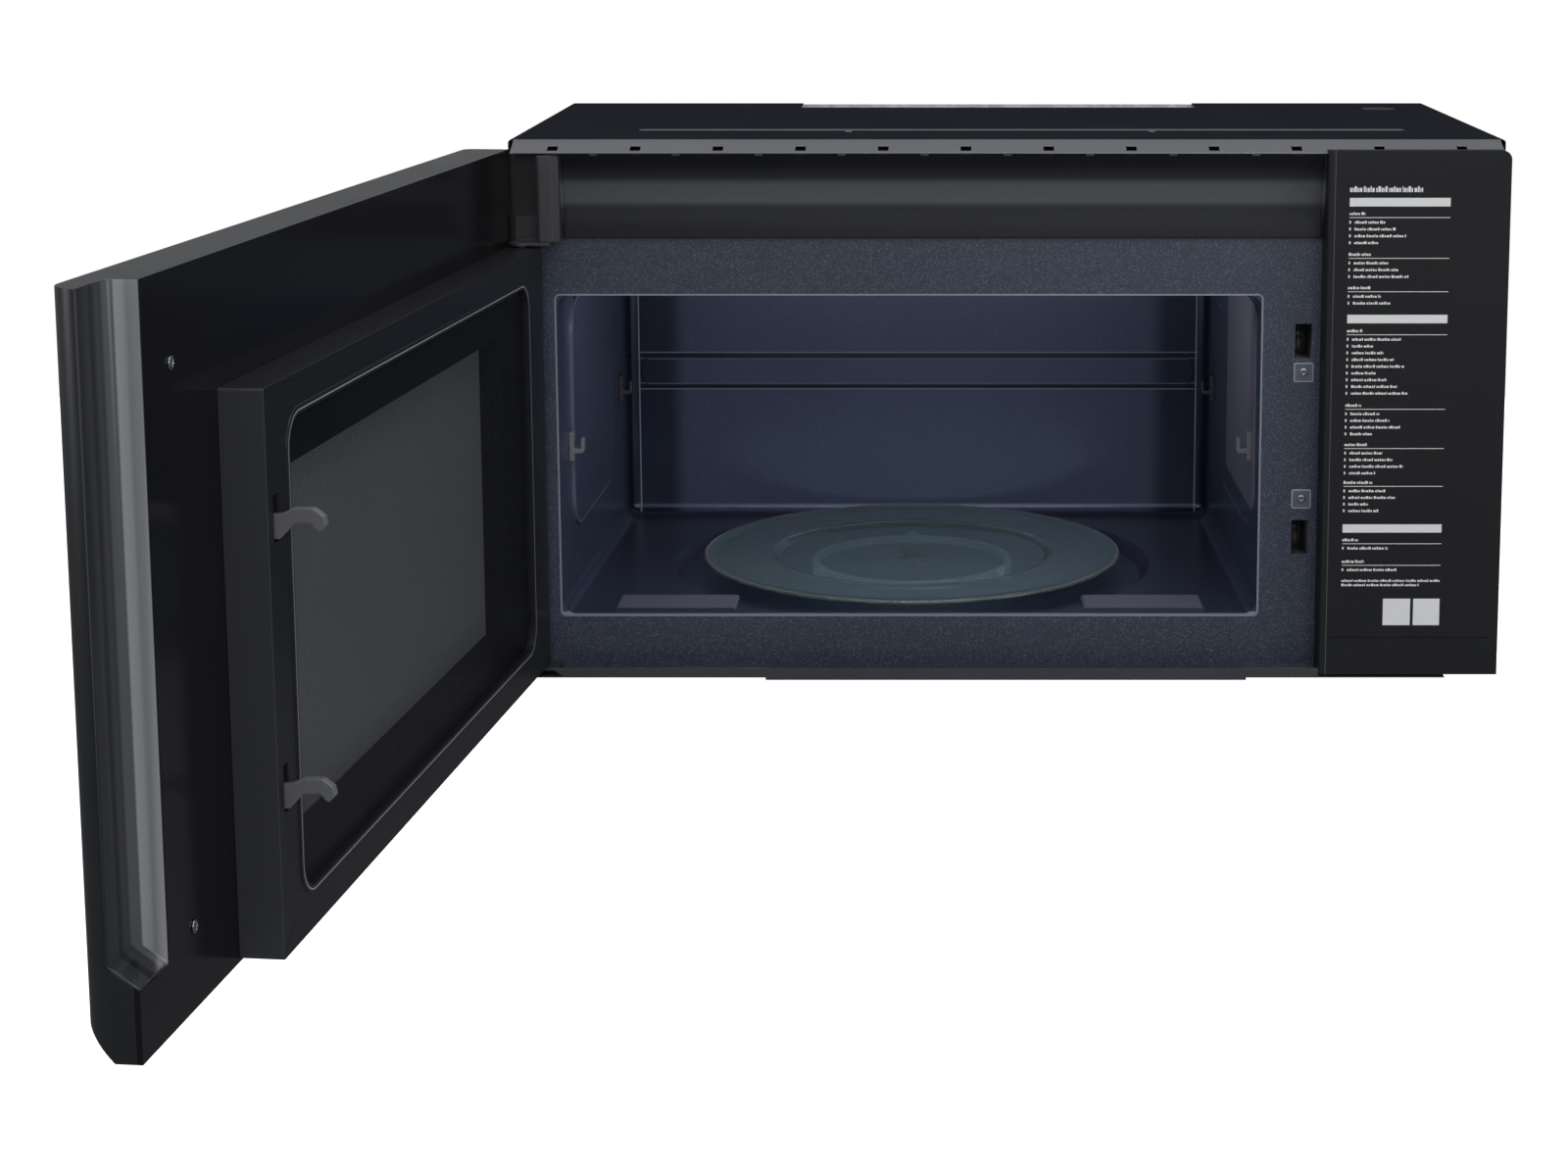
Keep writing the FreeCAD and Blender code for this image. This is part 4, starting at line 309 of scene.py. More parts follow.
def galvanised(name, colour, gloss):
    """Zinc sheet: flat-shaded spangle cells, each its own brightness and gloss, over a fine rolled grain."""
    material, tree, shader, grained = finish(name, colour, gloss, shift=0.15, depth=0.02, Metallic=0.5)
    place = tree.nodes["Texture Coordinate"]
    spangle = put(tree, "TexVoronoi", Vector=place.outputs["Object"], Scale=160.0)
    cell = put(tree, "SeparateColor", Color=spangle.outputs["Color"])
    level = put(tree, "MapRange", Value=cell.outputs[0], To_Min=0.78, To_Max=1.08)
    tinted = put(tree, "VectorMath", {"operation": "SCALE"}, i0=grained.outputs["Colour"],
                 Scale=level.outputs[0])
    rough = put(tree, "MapRange", Value=cell.outputs[1], To_Min=-0.08, To_Max=0.1)
    rougher = put(tree, "Math", {"operation": "ADD", "use_clamp": True}, i0=grained.outputs["Gloss"],
                  i1=rough.outputs[0])
    tree.links.new(tinted.outputs[0], shader.inputs["Base Color"])
    tree.links.new(rougher.outputs[0], shader.inputs["Roughness"])
    return material


zinc = galvanised("zinc_sheet", (0.52, 0.53, 0.55), 0.36)
dress(zinc, ["back_plate", "mount_nuts"], edge=0.2)
rubber = finish("bushing_rubber", (0.02, 0.02, 0.021), 0.6, depth=0.06)[0]
dress(rubber, ["cord_inlet"], edge=0.5)


# Screws: pan heads with a cross recess, cold formed in steel and zinc plated. Two sit in the top sheet's
# cups and two in the front frame's tabs; two more hold the door's inner face.
def pan_heads(name, places, axis, radius, height, shank, reach):
    """Screws as one mesh. Each is turned round its axis: a domed head of height h(1 - 0.35 (r/R)^4) less a
    cross recess, then its side, its underside and the shank. The axis leaves through the head."""
    turn = np.linspace(0, 2 * np.pi, 64, endpoint=False)
    dome = np.linspace(0.0, 1.0, 22)
    across = np.concatenate([dome * radius, [radius, shank, shank, 0.0]])
    up = np.concatenate([height * (1 - 0.35 * dome ** 4), [0.0, 0.0, -reach, -reach]])
    x = across[:, None] * np.cos(turn)
    y = across[:, None] * np.sin(turn)
    half_slot, slot_reach = radius * 0.13, radius * 0.62
    in_arm = np.minimum(np.abs(x), np.abs(y)) < half_slot
    fall = np.clip(1 - (np.maximum(np.abs(x), np.abs(y)) / slot_reach) ** 3, 0, 1)
    z = np.repeat(up[:, None], len(turn), 1)
    z[:len(dome)] -= (height * 0.75 * fall * in_arm)[:len(dome)]
    axis = np.array(axis, float) / np.linalg.norm(axis)
    side = np.cross(axis, [0.3, 0.2, 1.0] if abs(axis[2]) < 0.9 else [1.0, 0.2, 0.1])
    side /= np.linalg.norm(side)
    other = np.cross(axis, side)
    local = x[..., None] * side + y[..., None] * other + z[..., None] * axis
    pieces = [grid_mesh(name, local + np.array(place), wrap_columns=True) for place in places]
    bpy.ops.object.select_all(action="DESELECT")
    for piece in pieces:
        piece.select_set(True)
    bpy.context.view_layer.objects.active = pieces[0]
    bpy.ops.object.join()
    return pieces[0]


plated = finish("plated_screw_steel", (0.32, 0.33, 0.35), 0.3, shift=0.2, depth=0.05, Metallic=1.0)[0]
top_screws = pan_heads("top_screws", [(-0.123, -0.294, 0.2063), (0.116, -0.294, 0.2063)], (0, 0, 1),
                       0.004, 0.002, 0.0018, 0.006)
TAB_X, TAB_HEIGHTS, TAB_HALF = 229, (28.8, -70.8), 7.5
tab_screws = pan_heads("tab_screws", [(TAB_X * MM, -0.3691, height * MM) for height in TAB_HEIGHTS], (0, -1, 0),
                       0.0032, 0.0008, 0.0018, 0.006)
for piece in (top_screws, tab_screws):
    piece.data.materials.append(plated)
    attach(piece, "case")
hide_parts("case_screws")
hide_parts("case_screws")

# Base pan: painted sheet with a lowered middle. Two aluminium grease filters lie on it, and two clear
# panes cover the hood lamps above them.
pan_paint = finish("pan_paint", (0.035, 0.037, 0.044), 0.4, shift=0.3, depth=0.03)[0]
dress(pan_paint, ["base_pan"], edge=0.3)
filter_metal, filter_tree, filter_shader = finish(
    "filter_aluminium", (0.6, 0.61, 0.63), 0.38, shift=0.2, Metallic=1.0)[:3]
filter_place = filter_tree.nodes["Texture Coordinate"]
strand = put(filter_tree, "TexWave", {"wave_type": "BANDS", "bands_direction": "DIAGONAL"},
             Vector=filter_place.outputs["Object"], Scale=90.0, Distortion=3.0, Detail=2.0)
strand_bump = put(filter_tree, "Bump", Strength=0.5, Distance=0.001, Height=strand.outputs["Fac"])
filter_tree.links.new(strand_bump.outputs[0], filter_shader.inputs["Normal"])
dress(filter_metal, ["grease_filter_left", "grease_filter_right"], edge=0.3)
lens_glass = finish("hood_lens_glass", (0.9, 0.93, 0.95), 0.12, shift=0.05, fine=300.0, depth=0.1,
                    Transmission_Weight=1.0, IOR=1.5)[0]
dress(lens_glass, ["cooktop_lenses"], edge=0.3)
lamp_white = finish("lamp_ceramic", (0.72, 0.71, 0.67), 0.4)[0]
dress(lamp_white, ["cooktop_lamps"], edge=0.4)


# Cavity and front frame: steel fired with a dark blue enamel that holds pale specks. The rack pegs are
# moulded in grey, and a thin plate covers the waveguide's opening on the right wall.
def enamel(name, colour, speck, amount, gloss):
    """Enamel: a dark ground, with specks where small cells' random value passes a threshold, more in one place
    than another, and a slight orange peel. Gives the material, its tree, its shader and its colour output."""
    material, tree, shader, grained = finish(name, colour, gloss, shift=0.3, gloss_shift=0.1, slow=5.0,
                                             fine=260.0, depth=0.04, Coat_Weight=0.3, Coat_Roughness=0.15)
    place = tree.nodes["Texture Coordinate"]
    cells = put(tree, "TexVoronoi", Vector=place.outputs["Object"], Scale=1050.0, Randomness=1.0)
    pick = put(tree, "SeparateColor", Color=cells.outputs["Color"])
    chosen = put(tree, "Math", {"operation": "GREATER_THAN"}, i0=pick.outputs[0], i1=1 - amount)
    core = put(tree, "MapRange", Value=cells.outputs["Distance"], From_Min=0.2, From_Max=0.6, To_Min=1.0,
               To_Max=0.0)
    mask = put(tree, "Math", {"operation": "MULTIPLY"}, i0=chosen.outputs[0], i1=core.outputs[0])
    spotted = tint(tree, grained.outputs["Colour"], mask.outputs[0], speck)
    tree.links.new(spotted, shader.inputs["Base Color"])
    return material, tree, shader, spotted


frame_enamel, frame_tree, frame_shader, frame_colour = enamel(
    "frame_enamel", (0.030, 0.037, 0.060), (0.11, 0.125, 0.165), 0.35, 0.32)
MOUTH_CENTRE, MOUTH_HALF = (-74.75, 0, -37.25), (270.75, FAR, 125.75)
# A pale line just outside the mouth's edge is a painted highlight on that edge.
mouth_edge_highlight = line_on(frame_tree, MOUTH_CENTRE, MOUTH_HALF, 3.0, 0.6, 0.7)
frame_colour = tint(frame_tree, frame_colour, mouth_edge_highlight, (0.20, 0.22, 0.27))
# Each screw tab is a lighter square, and the pale line just inside its edge is a painted highlight.
for height in TAB_HEIGHTS:
    tab = both(frame_tree, where(frame_tree, 0, TAB_X - TAB_HALF, TAB_X + TAB_HALF),
               where(frame_tree, 2, height - TAB_HALF, height + TAB_HALF))
    frame_colour = tint(frame_tree, frame_colour, tab, (0.085, 0.095, 0.125))
    tab_edge_highlight = line_on(frame_tree, (TAB_X, 0, height), (TAB_HALF, FAR, TAB_HALF), 1.5, -0.4, 0.5)
    frame_colour = tint(frame_tree, frame_colour, tab_edge_highlight, (0.26, 0.28, 0.34))
frame_black = both(frame_tree, where(frame_tree, 0, -380, -354.5), where(frame_tree, 2, 128, 210))
frame_colour = tint(frame_tree, frame_colour, frame_black, (0.012, 0.012, 0.014))
frame_tree.links.new(frame_colour, frame_shader.inputs["Base Color"])
dress(frame_enamel, ["front_frame"], edge=0.0, whole=0.0)
cavity_enamel, cavity_tree, cavity_shader, cavity_colour = enamel(
    "cavity_enamel", (0.036, 0.045, 0.080), (0.07, 0.085, 0.13), 0.15, 0.3)
cavity_shader.inputs["Coat Weight"].default_value = 0.0
cavity_shader.inputs["Specular Tint"].default_value = (0.6, 0.72, 1, 1)
back_wall = where(cavity_tree, 1, -20, 0)
BACK_X, BACK_HALF = -71.5, 261.5
BACK_CENTRE, BACK_SIZE = (BACK_X, 0, 0), (BACK_HALF, FAR, FAR)
# Painted shade: the back wall darkens towards its side corners.
back_corner_shade = line_on(cavity_tree, BACK_CENTRE, BACK_SIZE, BACK_HALF, -22, 24)
cavity_colour = tint(cavity_tree, cavity_colour, both(cavity_tree, back_corner_shade, back_wall), (0.007, 0.009, 0.020))
BAND_Z, BAND_HALF = -32, 14
# The band's grooves are painted: each is a dark line of painted shade, with a painted highlight along each
# side.
for middle, width, colour in ((0.0, 1.9, (0.002, 0.002, 0.005)), (2.7, 0.5, (0.12, 0.135, 0.19)),
                              (-2.7, 0.5, (0.07, 0.08, 0.12))):
    band_shade_and_highlight_line = line_on(cavity_tree, (0, 0, BAND_Z), (FAR, FAR, BAND_HALF), BAND_HALF, middle, width)
    cavity_colour = tint(cavity_tree, cavity_colour, both(cavity_tree, band_shade_and_highlight_line, back_wall), colour)
# Down each back corner: a dark stripe of painted shade, and beside it a pale line of painted highlight.
for middle, width, colour in ((-5.0, 4.6, (0.004, 0.005, 0.012)), (-10.6, 0.6, (0.16, 0.18, 0.25))):
    corner_shade_and_highlight_line = line_on(cavity_tree, BACK_CENTRE, BACK_SIZE, BACK_HALF, middle, width)
    cavity_colour = tint(cavity_tree, cavity_colour, both(cavity_tree, corner_shade_and_highlight_line, back_wall), colour)
# Painted shade: the cavity floor, under the tray, is darker than the walls.
floor_painted_shade = both(cavity_tree, where(cavity_tree, 2, -175, -158), where(cavity_tree, 1, -364, -12))
cavity_colour = tint(cavity_tree, cavity_colour, floor_painted_shade, (0.021, 0.024, 0.045))
# A pale line round the side walls' pressed panels is a painted highlight on their edges.
side_panel_highlight = line_on(cavity_tree, (0, -217, -16), (FAR, 95, 92), 28.0, -0.8, 0.9)
side_walls = both(cavity_tree, where(cavity_tree, 2, -150, 86), where(cavity_tree, 1, -320, -115))
cavity_colour = tint(cavity_tree, cavity_colour, both(cavity_tree, side_panel_highlight, side_walls), (0.11, 0.12, 0.16))
# The two raised pads at the floor's front are painted lighter: painted light on their tops.
for low, high in ((-306, -211), (61.5, 156.5)):
    pad = both(cavity_tree, where(cavity_tree, 0, low, high), where(cavity_tree, 1, -355.5, -314.5),
               where(cavity_tree, 2, -162.4, -158))
    cavity_colour = tint(cavity_tree, cavity_colour, pad, (0.10, 0.102, 0.135))
# A pale line along the floor's front lip is a painted highlight.
lip = both(cavity_tree, where(cavity_tree, 1, -368, -364.5), where(cavity_tree, 2, -165, -161))
cavity_colour = tint(cavity_tree, cavity_colour, lip, (0.22, 0.24, 0.29))
cavity_tree.links.new(cavity_colour, cavity_shader.inputs["Base Color"])
dress(cavity_enamel, ["cavity_liner"], edge=0.8)
cover_grey = finish("waveguide_cover_grey", (0.12, 0.115, 0.16), 0.3, shift=0.2)[0]
dress(cover_grey, ["waveguide_cover"], edge=0.3)
peg_grey, peg_tree, peg_shader, peg_grain = finish("moulded_grey", (0.13, 0.134, 0.15), 0.38, depth=0.05)
# Painted shade: pegs in the back 120 mm of the cavity are darker.
peg_colour = tint(peg_tree, peg_grain.outputs["Colour"], where(peg_tree, 1, -120, 0), (0.02, 0.021, 0.026))
peg_tree.links.new(peg_colour, peg_shader.inputs["Base Color"])
dress(peg_grey, ["rack_supports", "drive_coupler"], edge=0.8)
board_grey = finish("latch_board_grey", (0.035, 0.035, 0.038), 0.5, depth=0.05)[0]
dress(board_grey, ["latch_board"], edge=0.0, whole=0.0)

# Turntable: a motor under the floor drives the coupler. A plastic ring with three rollers carries the
# pressed glass tray, which has a flat middle, a step and a broad rim.
TRAY_CENTRE = np.array([-0.07475, -0.18825])
TRAY_FOOT = -0.162


def smooth_step(value):
    """0 below 0, 1 above 1, and 3v^2 - 2v^3 between."""
    value = np.clip(value, 0, 1)
    return value * value * (3 - 2 * value)


def tray_profile():
    """Radius and height round the tray's section, in millimetres: the underside outwards, a round lip,
    and the upper side back to the middle, each with a smooth step at 113 mm and a rise to the rim."""
    out = np.concatenate([np.linspace(0, 108, 6), np.linspace(110, 122, 13), np.linspace(125, 162, 6),
                          np.linspace(164, 172.2, 10)])
    under = 3.5 * smooth_step((out - 112) / 8) + 2.2 * smooth_step((out - 164) / 10)
    lip = np.linspace(-1.2, math.pi - 0.5, 9)
    back = out[::-1][1:]
    upper = 4.0 + 3.5 * smooth_step((back - 110) / 8) + 0.8 * smooth_step((back - 162) / 10)
    across = np.concatenate([out, 173.4 + 1.5 * np.cos(lip), back])
    height = np.concatenate([under, 6.9 + 1.5 * np.sin(lip), upper])
    return across * MM, height * MM


tray_r, tray_z = tray_profile()
tray_turn = np.linspace(0, 2 * np.pi, 144, endpoint=False)
tray_points = np.stack([TRAY_CENTRE[0] + tray_r[:, None] * np.cos(tray_turn),
                        TRAY_CENTRE[1] + tray_r[:, None] * np.sin(tray_turn),
                        TRAY_FOOT + np.repeat(tray_z[:, None], len(tray_turn), 1)], -1)
tray = grid_mesh("tray_disc", tray_points, wrap_columns=True)
tray_glass, tray_tree, tray_shader, tray_grain = finish(
    "tray_glass", (0.52, 0.70, 0.70), 0.04, shift=0.03, gloss_shift=0.02, fine=60.0, depth=0.02,
    Transmission_Weight=0.93, IOR=1.5)
# A white ring just inside the tray's rim is a painted highlight.
tray_rim_highlight = line_on(tray_tree, (*(TRAY_CENTRE / MM), 0), (175, 175, FAR), 175, -2.0, 1.8)
tray_colour = tint(tray_tree, tray_grain.outputs["Colour"], tray_rim_highlight, (1.0, 1.0, 1.0))
tray_tree.links.new(tray_colour, tray_shader.inputs["Base Color"])
tray.data.materials.append(tray_glass)
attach(tray, "turntable")
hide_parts("glass_tray")
ring_white = finish("ring_white", (0.55, 0.56, 0.55), 0.42)[0]
dress(ring_white, ["roller_ring", "roller_1", "roller_2", "roller_3"], edge=0.3)
motor_steel = finish("motor_steel", (0.42, 0.43, 0.45), 0.35, shift=0.2, Metallic=1.0)[0]
dress(motor_steel, ["turntable_motor", "blower_motor", "fan_motor", "magnetron"], edge=0.3)

# Front trim: the sloped vent strip, the glossy hollow-curved air guide below it and the hinge pillar are
# plastic mouldings in front of the frame. The two hinge brackets are dark steel, each with its pin.
strip_satin = finish("vent_strip_satin", (0.115, 0.117, 0.125), 0.36, shift=0.2, depth=0.05)[0]
dress(strip_satin, ["vent_grille"], edge=0.0, whole=0.0)
# The gauze is a black sheet across the vent's mouth. It stands in for the dark, shaded inside of the vent.
gauze_x = np.linspace(-0.372, 0.372, 373)
gauze_section = np.array([(-385.6, 197.0), (-385.6, 198.9), (-380, 198.9), (-371.5, 198.9),
                          (-370.5, 203.8)]) * MM
gauze_points = np.zeros((len(gauze_x), len(gauze_section), 3))
gauze_points[..., 0], gauze_points[..., 1:] = gauze_x[:, None], gauze_section
GAUZE_WAVE = 0.00012
gauze_points[..., 2] += GAUZE_WAVE * (np.indices(gauze_points.shape[:2]).sum(0) % 2)
gauze = grid_mesh("vent_gauze_shade_sheet", gauze_points)
gauze_shade_black = finish("gauze_shade_black", (0.006, 0.006, 0.0065), 0.8, shift=0.6, slow=900.0, depth=0.4)[0]
gauze.data.materials.append(gauze_shade_black)
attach(gauze, "case")
guide_gloss, guide_tree, guide_shader, guide_grain = finish(
    "guide_gloss_black", (0.013, 0.0135, 0.016), 0.34, shift=0.1, gloss_shift=0.05, fine=250.0, depth=0.015,
    Specular_IOR_Level=0.1)
guide_colour = guide_grain.outputs["Colour"]
# Painted highlight: a pale band across the guide at mid-height, brightest at 168 mm.
for height, width, colour in ((165, 19, (0.030, 0.031, 0.036)), (168, 9, (0.085, 0.088, 0.098))):
    guide_painted_highlight = line_on(guide_tree, (0, 0, height), (FAR, FAR, 0), 0, 0, width)
    guide_colour = tint(guide_tree, guide_colour, guide_painted_highlight, colour)
guide_tree.links.new(guide_colour, guide_shader.inputs["Base Color"])
dress(guide_gloss, ["air_guide"], edge=0.4)
pillar_grey = finish("pillar_grey", (0.035, 0.036, 0.04), 0.36)[0]
dress(pillar_grey, ["hinge_pillar"], edge=0.6)
hinge_steel = finish("hinge_steel", (0.045, 0.045, 0.05), 0.4, Metallic=0.5)[0]
dress(hinge_steel, ["hinge_upper", "hinge_lower"], edge=0.4)

# Label panel: a satin black moulding in front of the frame, right of the door. Its print is plain bars,
# rules and short marks in pale ink.
panel_black, panel_tree, panel_shader, panel_grain = finish(
    "panel_satin_black", (0.012, 0.0125, 0.0145), 0.45, shift=0.2, depth=0.05, Specular_IOR_Level=0.2)
# A pale line down the panel's left edge is a painted highlight.
panel_edge_highlight = where(panel_tree, 0, 246.6, 247.3)
panel_colour = tint(panel_tree, panel_grain.outputs["Colour"], panel_edge_highlight, (0.06, 0.062, 0.07))
panel_tree.links.new(panel_colour, panel_shader.inputs["Base Color"])
dress(panel_black, ["label_panel"], edge=0.5)
PRINT_Y = -0.39403


def printed_bars(name, rows):
    """Flat rectangles of ink on the label's face. A row is (left, right, low, high) in millimetres, and each
    becomes one face that looks out of the panel."""
    rows = np.array(rows, float) * MM
    left, right, low, high = rows.T
    level = np.full(len(rows), PRINT_Y)
    corners = np.stack([np.stack([left, level, low], -1), np.stack([right, level, low], -1),
                        np.stack([right, level, high], -1), np.stack([left, level, high], -1)], 1)
    mesh = bpy.data.meshes.new(name)
    mesh.from_pydata(corners.reshape(-1, 3), [], np.arange(4 * len(rows)).reshape(-1, 4).tolist())
    piece = bpy.data.objects.new(name, mesh)
    scene.collection.objects.link(piece)
    return piece


def label_rows():
    """The print's layout: pale heading bars, thin rules under group headings, and entries of short marks whose
    widths follow a fixed uneven series."""
    margin, edge, entry_x = 258, 334, 262
    first_drop, entry_pitch, entry_tall = 8.4, 5.2, 2.1
    rows = [(margin, edge, low, low + 6.5) for low in (160.1, 71.0, -91.6)]
    groups = [(155.5, 4), (124.5, 3), (99.0, 2), (66.0, 9), (8.5, 4), (-22.0, 4), (-51.5, 4), (-96.5, 1),
              (-113.5, 1)]
    lines = [(margin, 313, 171.0, 4.4), (margin, edge, -130.4, 1.9), (margin, 318, -133.8, 1.9)]
    count = 0
    for top, entries in groups:
        lines.append((margin, 270 + 5 * (count % 3), top - 1.9, 2.2))
        rows.append((margin, edge, top - 4.1, top - 3.6))
        for i in range(entries):
            count += 1
            low = top - first_drop - entry_pitch * i
            rows.append((margin, margin + 1.2, low, low + entry_tall))
            lines.append((entry_x, 277 + (count * 37 % 29), low, entry_tall))
    for number, (left, right, low, tall) in enumerate(lines):
        step = 0
        while left < right:
            step += 1
            width = min(0.7 + (step * 53 + number * 29) % 7 * 0.22, right - left)
            rows.append((left, left + width, low, low + tall * (0.72 if (step * 31 + number) % 3 else 1.0)))
            left += width + (0.45 if step % 5 else 1.1)
    return rows


label_ink = finish("label_ink", (0.62, 0.62, 0.62), 0.55, shift=0.1)[0]
label_print = printed_bars("label_print", label_rows())
label_print.data.materials.append(label_ink)
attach(label_print, "case")
label_tiles = printed_bars("label_tiles", [(290.4, 311.4, -164.7, -143.7), (313.7, 334.0, -164.7, -143.7)])
tile_ink = finish("tile_ink", (0.62, 0.62, 0.62), 0.5, shift=0.1)[0]
label_tiles.data.materials.append(tile_ink)
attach(label_tiles, "case")

# Air and power parts inside the case: blower, exhaust, charcoal filter, waveguide, transformer, capacitor,
# fan, board and door switches. Housings are zinc sheet, wheels and switches are moulded plastic.
dress(zinc, ["blower_housing", "exhaust_plate", "waveguide", "cavity_lamp"], edge=0.3)
dress(plated, ["blower_shaft"], edge=0.2)
wheel_plastic = finish("wheel_plastic", (0.05, 0.05, 0.052), 0.45)[0]
dress(wheel_plastic, ["blower_wheel_left", "blower_wheel_right", "cooling_fan"], edge=0.0)
charcoal = finish("charcoal_pad", (0.015, 0.015, 0.015), 0.9, shift=0.8, slow=300.0, fine=900.0, depth=0.6)[0]
dress(charcoal, ["charcoal_filter"], edge=0.5)
core_steel = finish("lacquered_core", (0.10, 0.07, 0.055), 0.5, shift=0.4, depth=0.1, Metallic=0.6)[0]
dress(core_steel, ["hv_transformer"], edge=0.3)
can_metal = finish("capacitor_can", (0.55, 0.56, 0.58), 0.28, Metallic=1.0)[0]
dress(can_metal, ["hv_capacitor"], edge=0.4)
black_plastic = finish("switch_black", (0.02, 0.02, 0.02), 0.45, depth=0.05)[0]
dress(black_plastic, ["fan_shroud", "interlock_switches"], edge=0.4)
board_green = finish("board_green", (0.012, 0.11, 0.05), 0.4, shift=0.4, slow=60.0)[0]
dress(board_green, ["power_board"], edge=0.0)
button_grey = finish("button_grey", (0.03, 0.03, 0.032), 0.4)[0]
dress(button_grey, ["interlock_button_upper", "interlock_button_lower"], edge=0.0)


# Door: a dark steel-edged shell with black glass let into its face, and a hollow pocket down its free
# edge for the hand. Its places are given for the closed door and turned open about the hinge.
HINGE = np.array([-0.369, -0.386])
DOOR_OPEN = math.radians(-96)


def swung(points):
    """Points of the closed door turned about the hinge by the opening angle."""
    points = np.array(points, float)
    across = points[..., :2] - HINGE
    cosine, sine = math.cos(DOOR_OPEN), math.sin(DOOR_OPEN)
    x = HINGE[0] + across[..., 0] * cosine - across[..., 1] * sine
    y = HINGE[1] + across[..., 0] * sine + across[..., 1] * cosine
    return np.stack([x, y, points[..., 2]], -1)


door_edge = finish("door_edge_metal", (0.016, 0.017, 0.019), 0.28, shift=0.2, Metallic=0.2)[0]
dress(door_edge, ["door_skin"], edge=0.6)
window_glass = finish("window_smoked_glass", (0.006, 0.006, 0.007), 0.05, shift=0.1, gloss_shift=0.03,
                      depth=0.0, Coat_Weight=0.5, Coat_Roughness=0.02)[0]
dress(window_glass, ["door_window_glass", "door_touch_glass"], edge=0.3)
inner_gloss = finish("inner_gloss_black", (0.008, 0.008, 0.009), 0.16, shift=0.1, gloss_shift=0.05,
                     depth=0.0, Specular_IOR_Level=0.15)[0]
dress(inner_gloss, ["door_inner_panel"], edge=0.3)


def closed_place(tree):
    """Object position turned back about the hinge to where it is on the closed door."""
    place = tree.nodes["Texture Coordinate"].outputs["Object"]
    return put(tree, "VectorRotate", {"rotation_type": "Z_AXIS"}, Vector=place, Center=(*HINGE, 0),
               Angle=-DOOR_OPEN).outputs[0]


pocket_plastic, pocket_tree, pocket_shader, pocket_grain = finish(
    "pocket_plastic", (0.02, 0.021, 0.023), 0.2, shift=0.15, gloss_shift=0.05)
pocket_colour = pocket_grain.outputs["Colour"]
pocket_place = closed_place(pocket_tree)
# Painted light down the pocket: near the inner face, a pale band and a brighter line are painted highlights.
# Nearer the free edge, a dark line is painted shade.
for glow_x, width, colour in ((346, 4.5, (0.07, 0.073, 0.08)), (343, 1.2, (0.24, 0.245, 0.26)),
                              (363, 3, (0.007, 0.007, 0.008))):
    glow = line_on(pocket_tree, (glow_x, 0, 0), (0, FAR, FAR), 0, 0, width, pocket_place)
    pocket_colour = tint(pocket_tree, pocket_colour, glow, colour)
pocket_tree.links.new(pocket_colour, pocket_shader.inputs["Base Color"])
dress(pocket_plastic, ["handle_insert"], edge=0.0, whole=0.0)
cover_satin, cover_tree, cover_shader, cover_grain = finish(
    "cover_satin_black", (0.013, 0.0135, 0.0155), 0.34, depth=0.05, Specular_IOR_Level=0.2)
cover_place = closed_place(cover_tree)
# The pale line along the cover's edge at 240 mm and the pale line on its raised ridge are painted highlights.
cover_colour = tint(cover_tree, cover_grain.outputs["Colour"], where(cover_tree, 0, 239, 241, cover_place),
                    (0.035, 0.036, 0.041))
ridge_highlight_line = line_on(cover_tree, (-61, 0, -33.75), (266.5, FAR, 140.25), 20.0, 0.0, 0.5, cover_place)
ridge_face = where(cover_tree, 1, -371.2, -369, cover_place)
cover_colour = tint(cover_tree, cover_colour, both(cover_tree, ridge_highlight_line, ridge_face), (0.22, 0.225, 0.24))
cover_tree.links.new(cover_colour, cover_shader.inputs["Base Color"])
dress(cover_satin, ["choke_cover"], edge=0.6)
plug_black = finish("plug_black_paint", (0.006, 0.006, 0.007), 0.5, depth=0.05, Specular_IOR_Level=0.2)[0]
dress(plug_black, ["choke_frame"], edge=0.2)
dress(board_grey, ["hinge_bushes"], edge=0.3)
dress(plated, ["latch_spring"], edge=0.0)

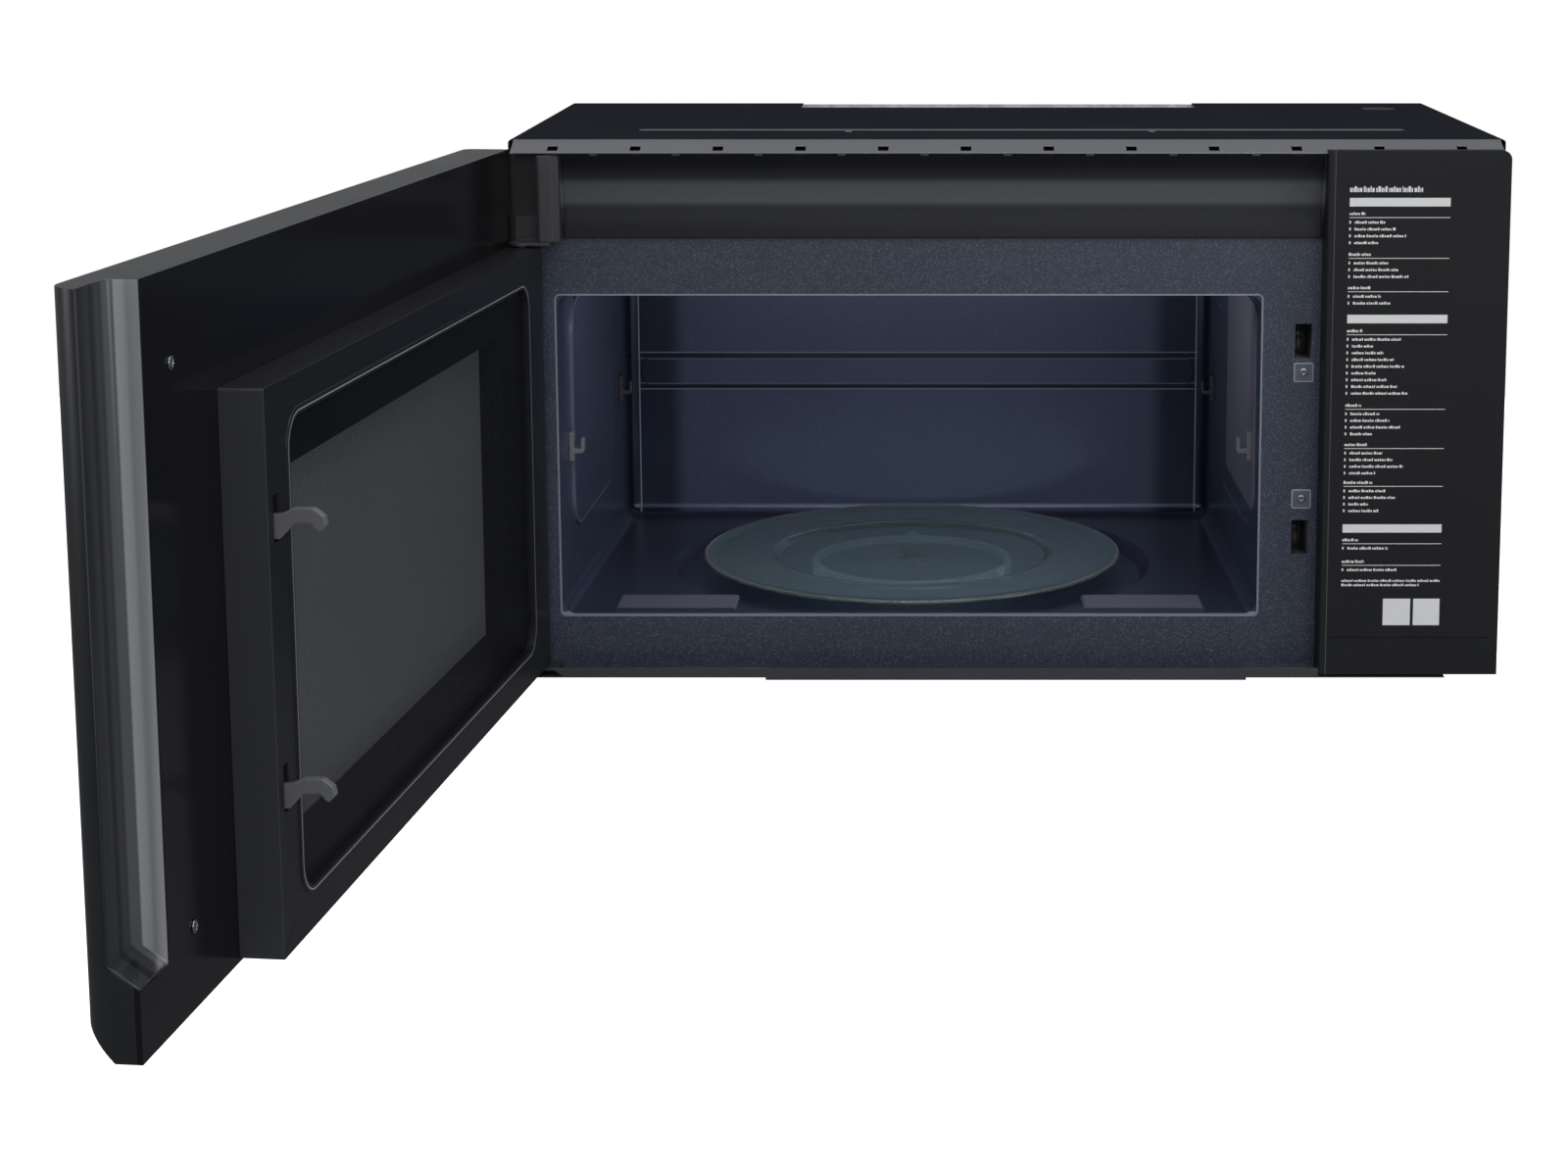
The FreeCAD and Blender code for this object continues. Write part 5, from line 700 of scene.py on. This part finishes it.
door_screw_places = swung([(0.304, -0.3965, -0.1535), (0.304, -0.3965, 0.1525)])
door_axis = (-math.sin(DOOR_OPEN), math.cos(DOOR_OPEN), 0)
door_screws = pan_heads("door_pan_screws", door_screw_places, door_axis, 0.0038, 0.0015, 0.0018, 0.009)
door_screws.data.materials.append(plated)
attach(door_screws, "door")
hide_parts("door_screws")

# Window of the door: a perforated steel screen between the outer glass and a clear inner pane. Its holes
# stand in a square grid along the door and are drawn in the material only.
HOLES_PER_METRE = 500
screen_dark, screen_tree, screen_shader, screen_grain = finish("perforated_screen", (0.18, 0.184, 0.2), 0.5)
screen_turn = put(screen_tree, "Mapping", Vector=screen_tree.nodes["Texture Coordinate"].outputs["Object"],
                  Rotation=(0, 0, -DOOR_OPEN), Scale=(HOLES_PER_METRE,) * 3)
screen_cell = put(screen_tree, "VectorMath", {"operation": "FRACTION"}, i0=screen_turn.outputs[0])
screen_parts = put(screen_tree, "SeparateXYZ", Vector=screen_cell.outputs[0])
screen_x = put(screen_tree, "Math", {"operation": "SUBTRACT"}, i0=screen_parts.outputs[0], i1=0.5)
screen_z = put(screen_tree, "Math", {"operation": "SUBTRACT"}, i0=screen_parts.outputs[2], i1=0.5)
screen_r = put(screen_tree, "CombineXYZ", X=screen_x.outputs[0], Y=screen_z.outputs[0])
screen_d = put(screen_tree, "VectorMath", {"operation": "LENGTH"}, i0=screen_r.outputs[0])
screen_hole = put(screen_tree, "MapRange", Value=screen_d.outputs["Value"], From_Min=0.28, From_Max=0.34,
                  To_Min=0.12, To_Max=1.0)
screen_shade = put(screen_tree, "VectorMath", {"operation": "SCALE"}, i0=screen_grain.outputs["Colour"],
                   Scale=screen_hole.outputs[0])
screen_tree.links.new(screen_shade.outputs[0], screen_shader.inputs["Base Color"])
dress(screen_dark, ["door_screen"], edge=0.0)
inner_pane = finish("inner_pane_glass", (0.02, 0.021, 0.023), 0.3, shift=0.02, gloss_shift=0.02, depth=0.0,
                    Alpha=0.18, Specular_IOR_Level=0.2)[0]
dress(inner_pane, ["door_inner_glass"], edge=0.2)

# Latch: a sliding bar with two grey hooks that reach through the cover. It is moulded in one piece of
# plastic, so its edges are well rounded.
hook_grey = finish("hook_grey", (0.11, 0.111, 0.115), 0.35, depth=0.04)[0]
dress(hook_grey, ["latch_bar"], edge=0.9)
